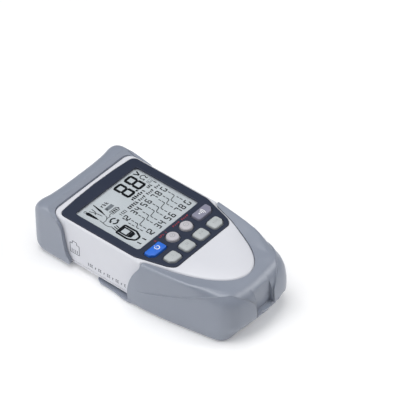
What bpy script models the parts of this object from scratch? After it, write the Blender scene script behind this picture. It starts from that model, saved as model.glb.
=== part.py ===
"""Handheld network cable tester with a slide-on remote terminal.

Frame: metres, +Z out of the display, +Y towards the socket end, +X to the
right when reading the display. The tester lies on its back on Z = 0, with the
origin on the bearing plate of the remote, on the tester's centre plane.

The tester has two white shells, a grey end cap, board, display, sockets and
battery. Its moving pieces are eight keys, the battery door and the remote
terminal, which wraps the lower end of the tester and slides off towards -Y.

All sizes below are in millimetres. A name ending in _Y or _Z that holds a pair
is a (low, high) range. Cutters overshoot the piece they cut; an end that lies
clear of the piece carries no size.
"""
import math

import bmesh
import bpy
from mathutils import Matrix, Vector

MM = 0.001
GAP = 0.3                      # running gap between neighbouring pieces

# ------------------------------------------------------------------ tester shells
FRONT_Z = 35.5                 # front plane of the tester
REAR_Z = 2.9                   # rear plane of the white shells
SPLIT_Z = 6.0                  # parting line between the two white shells
FRONT_BASE_Z = SPLIT_Z + 0.2   # lower edge of the front shell
REAR_RIM_Z = SPLIT_Z - 0.1     # upper edge of the rear shell
WALL = 2.2
CEILING_Z = 32.4               # underside of the front wall
BODY_HALF_W = 34.7
BODY_TOP_Y = 58.2              # end of the visible white shell
BODY_CORNER_R = 7.0
TAPER_Y = -10.6                # below this the sides draw in
THICK_END_Y = -30.0            # below this only the thin tongue continues
TONGUE_Z = 23.0                # underside of the tongue
SHELF_TOP_Z = TONGUE_Z + 1.7
END_WALL_HALF_W = 24.3

NECK_HALF_W = 31.4             # neck of the shells inside the cap
NECK_START_Y = 50
NECK_END_Y = 66.8
NECK_Z = (4.7, 33.2)
NECK_WALL = 1.8

# right half of the front panel below its parallel sides: half width, y
TONGUE_EDGE = [
    (BODY_HALF_W, TAPER_Y), (32.4, -12.4), (30.6, -17.5), (27.0, -30.0), (24.4, -37.0),
    (21.8, -43.0), (19.3, -48.0), (16.2, -53.0), (12.2, -57.8), (7.8, -61.3), (3.5, -63.0),
    (0.0, -63.4)]
# rolled edges of the shells: z, inset
FRONT_ROLL = [(33.7, 0.0), (34.6, 0.25), (35.2, 0.75), (FRONT_Z, 1.4)]
REAR_ROLL = [(REAR_Z, 2.6), (3.3, 1.5), (4.1, 0.55), (5.0, 0.1), (REAR_RIM_Z, 0.0)]

# ------------------------------------------------------------------ display and keys
DISPLAY_CENTRE = (0.0, 21.5)
DISPLAY_SIZE = (54.4, 49.4)
DISPLAY_R = 2.4
BEZEL_POCKET_Z = 34.4
# right half of the bezel: x, y, corner radius
BEZEL_HALF = [
    (0.0, 55.0, 0), (17.0, 54.5, 0), (33.2, 53.2, 4.6), (32.9, -4.8, 3.8),
    (26.9, -25.2, 4.0), (24.0, -29.4, 5.0), (0.0, -29.4, 0)]

KEY_TOP_Z = 37.3
KEY_BASE_Z = CEILING_Z - GAP   # top of the flange that holds the key under the wall
KEY_FLANGE = 0.5               # overhang of the flange
KEY_FLANGE_H = 1.1
KEY_CHAMFER = 2.6              # size of a cut corner
KEY_CHAMFER_R = 1.4
KEY_CORNER_R = 1.5
KEY_ROLL = [(KEY_BASE_Z, 0.0), (36.2, 0.0), (36.9, 0.35), (KEY_TOP_Z, 1.1)]   # z, inset
# name: (x, y, half width, half height, shape); the shape tells which lower corner is cut
KEYS = {
    "power_button": (-21.1, -11.0, 6.85, 3.6, "cut_left"),
    "mode_button_left": (-6.1, -11.2, 4.3, 4.3, "round"),
    "mode_button_right": (6.1, -11.2, 4.3, 4.3, "round"),
    "scan_button": (21.1, -11.0, 6.85, 3.6, "cut_right"),
    "function_key_1": (-19.2, -22.4, 4.85, 4.15, "cut_left"),
    "function_key_2": (-6.3, -22.4, 4.6, 4.15, "plain"),
    "function_key_3": (6.3, -22.4, 4.6, 4.15, "plain"),
    "function_key_4": (19.2, -22.4, 4.85, 4.15, "cut_right"),
}

# ------------------------------------------------------------------ end cap
CAP_HALF_W = 37.4
CAP_TOP_Z = 37.3
CAP_START_Y = 40.0             # the skin is lofted from here, then cut back to its free edge
CAP_REACH = 31.0               # length along Y that the inset of the end is scaled by
# right half of the cap: half width, y
CAP_EDGE = [
    (0.0, 69.9), (14.0, 70.0), (24.0, 70.7), (31.5, 71.9), (35.2, 71.0), (37.1, 67.8),
    (CAP_HALF_W, 62.0), (CAP_HALF_W, CAP_START_Y)]
# skin of the cap: z, inset
CAP_PROFILE = [
    (0.0, 4.6), (0.7, 2.7), (2.2, 1.3), (4.8, 0.35), (9.0, 0.0), (27.5, 0.0), (32.2, 0.15),
    (34.9, 0.75), (36.3, 1.6), (37.1, 2.8), (CAP_TOP_Z, 4.2)]
# free edge of the cap seen from the side: y, z. The right wall (+X) reaches further
# along the shell than the rest; both share the ends of the line.
CAP_CUT_UPPER = [(68.0, CAP_TOP_Z + 4), (61.2, CAP_TOP_Z)]
CAP_CUT_MAIN = [
    (58.2, 35.7), (53.4, 33.5), (51.2, 31.5), (49.4, 29.0), (48.6, 26.5), (47.0, 17.5),
    (45.4, 10.5)]
CAP_CUT_RIGHT = [
    (57.5, 36.2), (53.0, 34.8), (47.5, 33.4), (43.0, 32.2), (41.2, 30.5), (41.0, 26.0),
    (42.4, 17.5), (43.2, 10.5)]
CAP_CUT_LOWER = [
    (43.0, 6.5), (43.4, 3.5), (45.0, 1.5), (48.5, -2.0), (20, -2), (20, CAP_TOP_Z + 4)]

# ------------------------------------------------------------------ sockets and board
PORT_X = 15.5                  # sockets sit either side of the centre plane
PORT_W = 15.9
PORT_Y = (54.2, 69.6)
PORT_Z = (12.6, 25.9)
BOARD_Z = (26.2, 27.8)
BOARD_HALF = [(31.0, 53.6), (31.0, -9.0), (28.4, -12.4), (27.6, -16.5), (24.4, -27.0)]  # x, y

# ------------------------------------------------------------------ battery
BATTERY_Y = (25.7, 52.2)
BATTERY_Z = (5.2, 22.7)
BATTERY_MID_Y = sum(BATTERY_Y) / 2
BATTERY_MID_Z = sum(BATTERY_Z) / 2
STUD_OFFSET = 6.4              # studs sit this far either side of the battery's middle
SNAP_HALF_H = 5.5
BAY_OUTER_HALF_W = 26.0
BAY_INNER_HALF_W = 24.7
BAY_Y = (24.0, 53.8)           # outside of the bay
DOOR_HALF_W = 25.6
DOOR_Y = (25.0, 53.3)

# ------------------------------------------------------------------ remote terminal
PLATE_TOP_Z = 2.4              # bearing plate that runs under the tester
PLATE_END_Y = 24.5
PLATE_HALF_W = 36.2
# right half of the remote at mid height, from the plate's end to its own end: half width, y
REMOTE_EDGE = [
    (PLATE_HALF_W, PLATE_END_Y), (36.6, 10.0), (37.7, 2.0), (37.8, -6.0), (37.6, -12.0),
    (36.9, -20.0), (36.0, -28.0), (35.0, -35.0), (33.8, -42.0), (32.5, -49.0), (31.2, -56.0),
    (30.0, -62.0), (28.2, -67.3), (25.0, -71.6), (20.6, -74.3), (15.0, -75.6), (8.0, -76.4),
    (0.0, -76.7)]
# skin of the remote: z, inset, factor on the inset at the -Y end
REMOTE_PROFILE = [
    (0.0, 3.4, 1.5), (0.7, 2.1, 2.3), (2.2, 1.2, 3.5), (4.8, 0.7, 4.5), (9.0, 0.2, 7.1),
    (16.0, 0.0, 1.0), (22.0, 0.3, 1.0), (26.5, 0.9, 1.0), (29.8, 1.9, 1.0), (32.0, 3.3, 1.0),
    (33.3, 5.0, 1.0), (33.8, 7.4, 1.0)]
# curved front edge of the arms, from above them down to the plate: y, z
ARM_EDGE = [
    (-11.8, 40.0), (-11.6, 33.0), (-10.6, 31.0), (-8.4, 27.5), (-6.3, 23.5), (-4.2, 17.5),
    (-2.8, 10.0), (-2.6, PLATE_TOP_Z)]
# waste outside a rounded plate corner: x, y from the plate's end
PLATE_CORNER = [
    (40, -5), (40, 5), (30, 5), (31.2, 0.0), (33.4, -0.7), (34.8, -2.0), (35.6, -4.0)]
NOTCH_HALF_W = 7.0
NOTCH_Z = (14.2, 31.0)
NOTCH_MOUTH_Y = -76.6
NOTCH_DEPTH = 3.1              # at its floor
NOTCH_LEAN = 1.2               # extra depth at its top
REMOTE_CAVITY_Y = -33.0
REMOTE_PORT_Y = (-47.0, -31.4)
REMOTE_PORT_Z = (7.4, 20.0)

# ------------------------------------------------------------------ fasteners
ROUND_SIDES = 16               # bosses, screw heads and their holes
THIN_SIDES = 12                # shanks, pilots, stems
PILOT_R = 1.35
CLEARANCE_R = 1.75
SHANK_R = 1.15
HEAD_R = 2.4
RECESS_HALF_L = 1.3            # cross recess
RECESS_HALF_W = 0.28

HOUSING_SCREWS = [(-29.6, 36.0), (29.6, 36.0), (-30.2, -3.0), (30.2, -3.0)]
TONGUE_SCREW = (0, -55.0)
CAP_SCREWS = [(-26.7, 61.8), (26.7, 61.8)]
REMOTE_SCREWS = [(-19.5, -44.0), (19.5, -44.0)]


# ------------------------------------------------------------------ materials
def material(name, colour, roughness, metallic=0.0, alpha=1.0):
    mat = bpy.data.materials.new(name)
    mat.use_nodes = True
    shader = mat.node_tree.nodes["Principled BSDF"]
    shader.inputs["Base Color"].default_value = (*colour, 1.0)
    shader.inputs["Roughness"].default_value = roughness
    shader.inputs["Metallic"].default_value = metallic
    shader.inputs["Alpha"].default_value = alpha
    mat.diffuse_color = (*colour, alpha)
    return mat


WHITE = material("white_abs", colour=(0.68, 0.69, 0.73), roughness=0.42)
GREY = material("grey_soft_plastic", colour=(0.27, 0.29, 0.34), roughness=0.5)
NAVY = material("navy_panel", colour=(0.035, 0.045, 0.085), roughness=0.35)
CLEAR = material("clear_window", colour=(0.85, 0.88, 0.9), roughness=0.08, alpha=0.25)
LCD = material("lcd_glass", colour=(0.62, 0.66, 0.69), roughness=0.2)
LIGHT_GUIDE = material("light_guide", colour=(0.8, 0.82, 0.8), roughness=0.3)
KEY_GREY = material("key_grey", colour=(0.58, 0.56, 0.55), roughness=0.45)
KEY_BLUE = material("key_blue", colour=(0.012, 0.15, 0.85), roughness=0.35)
PCB = material("pcb_green", colour=(0.02, 0.16, 0.06), roughness=0.45)
BLACK = material("black_plastic", colour=(0.02, 0.02, 0.022), roughness=0.5)
GOLD = material("gold_contact", colour=(0.75, 0.52, 0.18), roughness=0.3, metallic=1.0)
STEEL = material("zinc_screw", colour=(0.55, 0.56, 0.58), roughness=0.32, metallic=1.0)
FLEX = material("flex_cable", colour=(0.45, 0.24, 0.06), roughness=0.5)
RED = material("red_wire", colour=(0.55, 0.02, 0.02), roughness=0.5)
BATTERY = material("battery_jacket", colour=(0.05, 0.06, 0.08), roughness=0.4)


# ------------------------------------------------------------------ outlines
def rounded(points, radii, segments):
    """Closed outline through the corners, each rounded by its radius with a quadratic blend."""
    out = []
    for i, (point, radius) in enumerate(zip(points, radii)):
        corner = Vector(point)
        to_last = Vector(points[i - 1]) - corner
        to_next = Vector(points[(i + 1) % len(points)]) - corner
        angle = to_last.angle(to_next)
        if radius <= 0 or angle > math.pi - 0.02:
            out.append((corner.x, corner.y))
            continue
        reach = min(radius / math.tan(angle / 2), 0.49 * to_last.length, 0.49 * to_next.length)
        start = corner + to_last.normalized() * reach
        end = corner + to_next.normalized() * reach
        for k in range(segments + 1):
            t = k / segments
            blend = start * (1 - t) ** 2 + corner * 2 * t * (1 - t) + end * t ** 2
            out.append((blend.x, blend.y))
    return out


def circle(cx, cy, radius, sides):
    angles = [2 * math.pi * k / sides for k in range(sides)]
    return [(cx + radius * math.cos(a), cy + radius * math.sin(a)) for a in angles]


def inset(outline, distance, grow_y=1.0):
    """The outline moved inwards; the part that faces along Y moves grow_y times as far."""
    out = []
    for i, point in enumerate(outline):
        here = Vector(point)
        edge_in = (here - Vector(outline[i - 1])).normalized()
        edge_out = (Vector(outline[(i + 1) % len(outline)]) - here).normalized()
        normal_in = Vector((-edge_in.y, edge_in.x))
        normal_out = Vector((-edge_out.y, edge_out.x))
        mitre = (normal_in + normal_out).normalized()
        mitre /= max(0.6, mitre.dot(normal_in))        # limits the reach of sharp corners
        factor = 1.0 + (grow_y - 1.0) * mitre.normalized().y ** 2
        moved = here + mitre * distance * factor
        out.append((moved.x, moved.y))
    return out


def mirrored(right_half):
    """Closed outline, anticlockwise, from its right half listed from top to bottom.

    Entries are (x, y, ...); any further columns are carried along.
    """
    left_half = [(-x, *rest) for x, *rest in right_half if x > 1e-6]
    return left_half + list(reversed(right_half))


def clip_y(outline, y_low=None, y_high=None):
    """The outline cut straight across at a y value (Sutherland-Hodgman)."""
    for limit, keep in ((y_low, 1), (y_high, -1)):
        if limit is None:
            continue
        out = []
        for i, p in enumerate(outline):
            q = outline[(i + 1) % len(outline)]
            p_in = keep * (p[1] - limit) >= 0
            q_in = keep * (q[1] - limit) >= 0
            if p_in:
                out.append(p)
            if p_in != q_in and min(abs(p[1] - limit), abs(q[1] - limit)) > 1e-6:
                t = (limit - p[1]) / (q[1] - p[1])
                out.append((p[0] + t * (q[0] - p[0]), limit))
        outline = out
    return outline


def smoothstep(low, high, value):
    t = min(1.0, max(0.0, (value - low) / (high - low)))
    return t * t * (3.0 - 2.0 * t)


# ------------------------------------------------------------------ solids
def obj_from_bm(name, bm):
    bmesh.ops.recalc_face_normals(bm, faces=bm.faces)
    if bm.calc_volume(signed=True) < 0:
        bmesh.ops.reverse_faces(bm, faces=bm.faces)
    mesh = bpy.data.meshes.new(name)
    bm.to_mesh(mesh)
    bm.free()
    obj = bpy.data.objects.new(name, mesh)
    bpy.context.scene.collection.objects.link(obj)
    return obj


def loft(name, rings):
    """Closed solid through rings of equal point count, each a list of (x, y, z)."""
    bm = bmesh.new()
    rows = [[bm.verts.new((x * MM, y * MM, z * MM)) for x, y, z in ring] for ring in rings]
    count = len(rows[0])
    for lower, upper in zip(rows, rows[1:]):
        for i in range(count):
            j = (i + 1) % count
            bm.faces.new((lower[i], lower[j], upper[j], upper[i]))
    bm.faces.new(list(reversed(rows[0])))
    bm.faces.new(rows[-1])
    return obj_from_bm(name, bm)


def flat_ring(outline, z):
    return [(x, y, z) for x, y in outline]


def inset_rings(outline, profile):
    """One ring for each (z, inset) of the profile."""
    return [flat_ring(inset(outline, distance), z) for z, distance in profile]


def prism(name, outline, z0, z1):
    return loft(name, [flat_ring(outline, z0), flat_ring(outline, z1)])


def side_prism(name, outline_yz, x0, x1):
    """Solid extruded along X from an outline of (y, z)."""
    return loft(name, [[(x, y, z) for y, z in outline_yz] for x in (x0, x1)])


def box(name, x0, x1, y0, y1, z0, z1):
    return prism(name, [(x0, y0), (x1, y0), (x1, y1), (x0, y1)], z0, z1)


def cylinder(name, x, y, radius, z0, z1, sides=ROUND_SIDES):
    return prism(name, circle(x, y, radius, sides), z0, z1)


def boolean(obj, others, operation):
    """Applies one exact Boolean per other object, then removes it."""
    for other in others:
        mod = obj.modifiers.new("bool", "BOOLEAN")
        mod.operation = operation
        mod.solver = "EXACT"
        mod.object = other
        bpy.context.view_layer.update()
        evaluated = obj.evaluated_get(bpy.context.evaluated_depsgraph_get())
        mesh = bpy.data.meshes.new_from_object(evaluated)
        obj.modifiers.remove(mod)
        old = obj.data
        obj.data = mesh
        bpy.data.meshes.remove(old)
        bpy.data.objects.remove(other, do_unlink=True)


def cut(obj, *others):
    boolean(obj, others, "DIFFERENCE")


def join(obj, *others):
    boolean(obj, others, "UNION")


def finish(obj, mat, smooth=False, origin=None):
    """Gives the piece its material, shading and origin."""
    obj.data.name = obj.name
    obj.data.materials.clear()
    obj.data.materials.append(mat)
    if smooth:
        obj.data.shade_smooth()
        obj.data.set_sharp_from_angle(angle=math.radians(35))
    if origin is not None:
        at = Vector(origin) * MM
        obj.data.transform(Matrix.Translation(-at))
        obj.location = at


# ------------------------------------------------------------------ shared features
def cut_pilot(obj, x, y, z0, z1):
    cut(obj, cylinder("pilot", x, y, PILOT_R, z0, z1, THIN_SIDES))


def cut_screw_hole(obj, x, y, z0, z1, seat_r, seat_z):
    """Clearance hole from z0 to z1 with a seat for the head that ends at seat_z."""
    cut(obj,
        cylinder("screw_hole", x, y, CLEARANCE_R, z0, z1),
        cylinder("head_seat", x, y, seat_r, z0, seat_z))


def port_window(x, y0, y1, z_range):
    """Cutter that clears a socket."""
    half = PORT_W / 2 + GAP
    return box("port_window", x - half, x + half, y0, y1, z_range[0] - GAP, z_range[1] + GAP)


def key_outline(name, grow=0.0):
    x, y, half_w, half_h, shape = KEYS[name]
    if shape == "round":
        return circle(x, y, half_w + grow, 24)
    left, right = x - half_w, x + half_w
    low, high = y - half_h, y + half_h
    if shape == "cut_left":
        lower = [(left, low + KEY_CHAMFER), (left + KEY_CHAMFER, low), (right, low)]
        radii = [KEY_CHAMFER_R, KEY_CHAMFER_R, KEY_CORNER_R]
    elif shape == "cut_right":
        lower = [(left, low), (right - KEY_CHAMFER, low), (right, low + KEY_CHAMFER)]
        radii = [KEY_CORNER_R, KEY_CHAMFER_R, KEY_CHAMFER_R]
    else:
        lower = [(left, low), (right, low)]
        radii = [KEY_CORNER_R] * 2
    corners = lower + [(right, high), (left, high)]
    return inset(rounded(corners, radii + [KEY_CORNER_R] * 2, 3), -grow)


def cut_key_holes(obj):
    for key in KEYS:
        cut(obj, prism("key_hole", key_outline(key, GAP), 30, 50))


def display_outline(grow, radius):
    x, y = DISPLAY_CENTRE
    half_w = DISPLAY_SIZE[0] / 2 + grow
    half_h = DISPLAY_SIZE[1] / 2 + grow
    corners = [(x - half_w, y - half_h), (x + half_w, y - half_h),
               (x + half_w, y + half_h), (x - half_w, y + half_h)]
    return rounded(corners, [radius] * 4, 3)


def make_body_outline():
    corners = [(0.0, BODY_TOP_Y), (BODY_HALF_W, BODY_TOP_Y), (BODY_HALF_W, TAPER_Y)]
    corner_arc = rounded(corners, [0, BODY_CORNER_R, 0], 5)[1:-1]
    return mirrored(corner_arc + TONGUE_EDGE)


def make_bezel_outline():
    corners = mirrored(BEZEL_HALF)
    return rounded([(x, y) for x, y, _ in corners], [radius for _, _, radius in corners], 4)


BODY_OUTLINE = make_body_outline()
THICK_OUTLINE = clip_y(BODY_OUTLINE, y_low=THICK_END_Y)
BEZEL_OUTLINE = make_bezel_outline()
# the plate's straight end is divided so that the skin follows it
REMOTE_OUTLINE = mirrored(REMOTE_EDGE) + [
    (PLATE_HALF_W * k / 4, PLATE_END_Y) for k in range(3, -4, -1)]


# ------------------------------------------------------------------ white shells
def build_front_housing():
    front = loft("front_housing",
                 [flat_ring(BODY_OUTLINE, FRONT_BASE_Z)] + inset_rings(BODY_OUTLINE, FRONT_ROLL))
    join(front, box("neck", -NECK_HALF_W, NECK_HALF_W, NECK_START_Y, NECK_END_Y,
                    FRONT_BASE_Z, NECK_Z[1]))
    neck_inner = NECK_HALF_W - NECK_WALL
    cut(front,
        box("under_tongue", -50, 50, -90, THICK_END_Y, -1, SHELF_TOP_Z + GAP),
        prism("cavity", inset(BODY_OUTLINE, WALL), 0, CEILING_Z),
        box("neck_cavity", -neck_inner, neck_inner, NECK_START_Y, NECK_END_Y - NECK_WALL,
            0, NECK_Z[1] - NECK_WALL))

    # screw bosses hang from the front wall and run a little way into it
    boss_top = CEILING_Z + 0.8
    for x, y in HOUSING_SCREWS:
        join(front, cylinder("boss", x, y, 2.5, SPLIT_Z + 0.4, boss_top))
    join(front, cylinder("tongue_boss", *TONGUE_SCREW, 2.8, SHELF_TOP_Z + GAP, boss_top))
    for x, y in HOUSING_SCREWS:
        cut_pilot(front, x, y, 0, 16.0)
    cut_pilot(front, *TONGUE_SCREW, 0, 31.0)

    cut(front,
        prism("bezel_pocket", inset(BEZEL_OUTLINE, -GAP), BEZEL_POCKET_Z, 50),
        prism("display_opening", display_outline(0.05, DISPLAY_R), 30, 50))
    cut_key_holes(front)
    for side in (-1, 1):
        cut(front, port_window(side * PORT_X, 60, 80, PORT_Z))
    finish(front, WHITE, smooth=True)


def build_rear_housing():
    """Tray, end wall, battery bay and the shelf that closes the tongue."""
    rear = loft("rear_housing", inset_rings(THICK_OUTLINE, REAR_ROLL))
    cut(rear, prism("tray", inset(THICK_OUTLINE, WALL), 5.1, 9))
    shelf_outline = clip_y(BODY_OUTLINE, y_high=THICK_END_Y - 0.3)
    join(rear,
         box("end_wall", -END_WALL_HALF_W, END_WALL_HALF_W, THICK_END_Y, THICK_END_Y + 2.0,
             4.0, SHELF_TOP_Z),
         prism("shelf", shelf_outline, TONGUE_Z, SHELF_TOP_Z),
         box("bridge", -END_WALL_HALF_W, END_WALL_HALF_W, THICK_END_Y - 1.5, THICK_END_Y + 1.0,
             TONGUE_Z, SHELF_TOP_Z),
         box("neck_floor", -NECK_HALF_W, NECK_HALF_W, NECK_START_Y, NECK_END_Y,
             NECK_Z[0], REAR_RIM_Z),
         box("bay", -BAY_OUTER_HALF_W, BAY_OUTER_HALF_W, *BAY_Y, 4.2, 23.4))
    cut(rear,
        box("bay_inside", -BAY_INNER_HALF_W, BAY_INNER_HALF_W,
            BATTERY_Y[0] - GAP, BATTERY_Y[1] + GAP, 0, 30),
        box("door_rebate", -DOOR_HALF_W - GAP, DOOR_HALF_W + GAP,
            DOOR_Y[0] - GAP, DOOR_Y[1] + GAP, 0, 4.4),
        box("latch_slot", -5.3, 5.3, 52.0, 54.4, 4.4, 6.6))
    for x, y in HOUSING_SCREWS:
        cut_screw_hole(rear, x, y, -1, 9, seat_r=3.0, seat_z=4.0)
    cut_screw_hole(rear, *TONGUE_SCREW, 20, 30, seat_r=2.9, seat_z=TONGUE_Z + 1.0)
    for x, y in CAP_SCREWS:
        join(rear, cylinder("cap_boss", x, y, 2.6, SPLIT_Z - 0.6, 15.0))
        cut_pilot(rear, x, y, 0, 14.0)
    finish(rear, WHITE, smooth=True)


# ------------------------------------------------------------------ grey end cap
def cap_ring(outline, z, distance):
    """One level of the skin; near the top the end rolls over twice as far as the sides."""
    along = distance * (2.0 if z > 20.0 else 1.0)
    scale_x = 1.0 - distance / CAP_HALF_W
    scale_y = 1.0 - along / CAP_REACH
    return [(x * scale_x, CAP_START_Y + (y - CAP_START_Y) * scale_y, z) for x, y in outline]


def build_end_cap():
    start_line = [(CAP_HALF_W * k / 6, CAP_START_Y) for k in range(5, -1, -1)]
    outline = mirrored(CAP_EDGE + start_line)
    cap = loft("top_end_cap", [cap_ring(outline, z, distance) for z, distance in CAP_PROFILE])
    cut(cap,
        side_prism("main_edge", CAP_CUT_UPPER + CAP_CUT_MAIN + CAP_CUT_LOWER, -60, 34.9),
        side_prism("right_edge", CAP_CUT_UPPER + CAP_CUT_RIGHT + CAP_CUT_LOWER, 34.7, 60),
        prism("body_seat", inset(clip_y(BODY_OUTLINE, y_low=0), -GAP), REAR_Z - GAP, 60),
        box("neck_seat", -NECK_HALF_W - GAP, NECK_HALF_W + GAP, NECK_START_Y, NECK_END_Y + GAP,
            NECK_Z[0] - GAP, NECK_Z[1] + GAP),
        box("door_notch", -27.6, 27.6, 30, 56.2, -5, 5))
    for side, (x, y) in zip((-1, 1), CAP_SCREWS):
        cut(cap, port_window(side * PORT_X, 60, 90, PORT_Z))
        cut_screw_hole(cap, x, y, -1, 9, seat_r=3.0, seat_z=2.3)
    finish(cap, GREY, smooth=True)


# ------------------------------------------------------------------ display group
def build_display():
    bezel = prism("display_bezel", BEZEL_OUTLINE, BEZEL_POCKET_Z + GAP, FRONT_Z + 0.3)
    cut(bezel, prism("window_hole", display_outline(0, DISPLAY_R), 30, 50))
    cut_key_holes(bezel)
    finish(bezel, NAVY)
    window_outline = display_outline(-GAP, DISPLAY_R - GAP)
    finish(prism("display_window", window_outline, 34.5, 35.4), CLEAR)
    finish(prism("lcd_panel", display_outline(-GAP, DISPLAY_R), 32.0, 34.2), LCD)
    finish(box("lcd_backlight", -26.4, 26.4, -2.6, 45.6, 28.1, 31.7), LIGHT_GUIDE)
    finish(box("lcd_flex_cable", -12.0, 12.0, 46.3, 46.7, 28.1, 32.0), FLEX)


# ------------------------------------------------------------------ board and its parts
def build_board():
    board = prism("main_pcb", mirrored(BOARD_HALF), *BOARD_Z)
    for x, y in HOUSING_SCREWS:
        cut(board, cylinder("boss_hole", x, y, 2.9, 20, 40))
    finish(board, PCB)
    # the chip and the buzzer hang under the board
    parts_top = BOARD_Z[0] - GAP
    finish(box("main_ic", 2.0, 14.0, 2.0, 14.0, 24.3, parts_top), BLACK)
    finish(cylinder("buzzer", -16.0, 8.0, 6.0, 20.4, parts_top, sides=28), BLACK, smooth=True)


def build_key(name):
    x, y = KEYS[name][:2]
    outline = key_outline(name)
    key = loft(name, inset_rings(outline, KEY_ROLL))
    join(key,
         prism("flange", inset(outline, -KEY_FLANGE), KEY_BASE_Z - KEY_FLANGE_H, KEY_BASE_Z),
         cylinder("stem", x, y, 1.6, 30.3, CEILING_Z, THIN_SIDES))
    mat = KEY_BLUE if name == "power_button" else KEY_GREY
    finish(key, mat, smooth=True, origin=(x, y, CEILING_Z))


def build_key_switch(key):
    """Switch on the board under a key, with a short plunger."""
    x, y = KEYS[key][:2]
    name = key.replace("button", "switch") if "button" in key else key + "_switch"
    half = 2.5
    switch = box(name, x - half, x + half, y - half, y + half, BOARD_Z[1] + GAP, 29.1)
    join(switch, cylinder("plunger", x, y, 1.2, 29.0, 29.35, THIN_SIDES))
    finish(switch, BLACK)


def build_socket(name, contacts, x, y_range, z_range):
    """Eight-way modular socket, mouth towards +Y and latch slot on top, and its contact comb."""
    y_back, y_mouth = y_range
    body = box(name, x - PORT_W / 2, x + PORT_W / 2, y_back, y_mouth, *z_range)
    inner = (y_mouth - 12.6, y_mouth + 3)
    base = z_range[0] + 2.2
    cut(body,
        box("opening", x - 5.95, x + 5.95, *inner, base, base + 6.9),
        box("latch_wide", x - 3.15, x + 3.15, *inner, base + 5.0, base + 8.3),
        box("latch_slim", x - 2.0, x + 2.0, *inner, base + 7.0, base + 9.6))
    finish(body, BLACK)

    # comb: one bar across the back and eight springs that slope down towards the mouth
    bar_y = y_mouth - 12.2
    contact_pitch = 1.02
    spring = [(bar_y + 0.5, base + 1.0), (bar_y + 8.0, base + GAP),
              (bar_y + 8.6, base + GAP + 0.35), (bar_y + 0.5, base + 1.45)]
    comb = box(contacts, x - 4.4, x + 4.4, bar_y, bar_y + 1.0, base + GAP, base + 1.6)
    for k in range(8):
        spring_x = x + (k - 3.5) * contact_pitch
        join(comb, side_prism("spring", spring, spring_x - 0.22, spring_x + 0.22))
    finish(comb, GOLD)


# ------------------------------------------------------------------ battery group
def battery_studs(radius, x0, x1):
    """A pair of round solids along X at the places of the battery's studs."""
    return [side_prism("stud", circle(BATTERY_MID_Y + offset, BATTERY_MID_Z, radius, ROUND_SIDES),
                       x0, x1)
            for offset in (-STUD_OFFSET, STUD_OFFSET)]


def build_battery():
    cell = box("battery_9v", -24.3, 20.4, *BATTERY_Y, *BATTERY_Z)
    join(cell, *battery_studs(2.7, 20.0, 22.4))
    finish(cell, BATTERY)
    snap = box("battery_snap_connector", 20.7, 24.4, BATTERY_MID_Y - 12.0, BATTERY_MID_Y + 12.0,
               BATTERY_MID_Z - SNAP_HALF_H, BATTERY_MID_Z + SNAP_HALF_H)
    cut(snap, *battery_studs(3.1, 20.0, 22.9))
    finish(snap, BLACK)


def build_lead(name, points, mat):
    """Round wire along a smooth curve through the points."""
    curve = bpy.data.curves.new(name, "CURVE")
    curve.dimensions = "3D"
    curve.bevel_depth = 0.7 * MM
    curve.bevel_resolution = 1
    curve.resolution_u = 3
    curve.use_fill_caps = True
    spline = curve.splines.new("BEZIER")
    spline.bezier_points.add(len(points) - 1)
    for knot, point in zip(spline.bezier_points, points):
        knot.co = Vector(point) * MM
        knot.handle_left_type = knot.handle_right_type = "AUTO"
    temp = bpy.data.objects.new(name, curve)
    bpy.context.scene.collection.objects.link(temp)
    bpy.context.view_layer.update()
    evaluated = temp.evaluated_get(bpy.context.evaluated_depsgraph_get())
    mesh = bpy.data.meshes.new_from_object(evaluated)
    bpy.data.objects.remove(temp, do_unlink=True)
    bm = bmesh.new()
    bm.from_mesh(mesh)
    # weld the end caps to the tube
    bmesh.ops.remove_doubles(bm, verts=bm.verts, dist=1e-6)
    finish(obj_from_bm(name, bm), mat, smooth=True)


def build_leads():
    """Two wires from the top of the snap connector, over the battery."""
    mid = BATTERY_MID_Y
    start_z = BATTERY_MID_Z + SNAP_HALF_H + GAP
    build_lead("battery_lead_red",
               [(22.5, mid - 3.0, start_z), (22.5, mid - 5.0, start_z + 2.6),
                (21.0, mid - 9.0, 24.6), (21.0, mid - 11.0, 25.6)], RED)
    build_lead("battery_lead_black",
               [(22.5, mid + 3.0, start_z), (22.5, mid + 1.0, start_z + 2.6),
                (18.0, mid - 6.0, 24.6), (18.0, mid - 9.0, 25.6)], BLACK)


def build_battery_door():
    door = box("battery_door", -DOOR_HALF_W, DOOR_HALF_W, *DOOR_Y, REAR_Z, 4.1)
    join(door, box("rib", -23.0, 23.0, 26.2, 27.2, 4.0, 4.9))
    cut(door, *[box("finger_grip", -7.0, 7.0, y, y + 1.2, 2.0, 3.5) for y in (28.2, 30.8)])
    finish(door, WHITE)


# ------------------------------------------------------------------ fasteners
def build_screw(name, x, y, z, head_h, length):
    """Pan head screw whose head faces down, with its face at z and a cross recess."""
    head_top = z + head_h
    rings = [(z, HEAD_R * 0.82), (z + 0.35 * head_h, HEAD_R), (head_top, HEAD_R)]
    body = loft(name, [flat_ring(circle(x, y, r, ROUND_SIDES), level) for level, r in rings])
    join(body, cylinder("shank", x, y, SHANK_R, head_top - 0.2, head_top + length, THIN_SIDES))
    for half_x, half_y in ((RECESS_HALF_L, RECESS_HALF_W), (RECESS_HALF_W, RECESS_HALF_L)):
        cut(body, box("recess", x - half_x, x + half_x, y - half_y, y + half_y,
                      z - 1, z + 0.6 * head_h))
    finish(body, STEEL)


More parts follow.
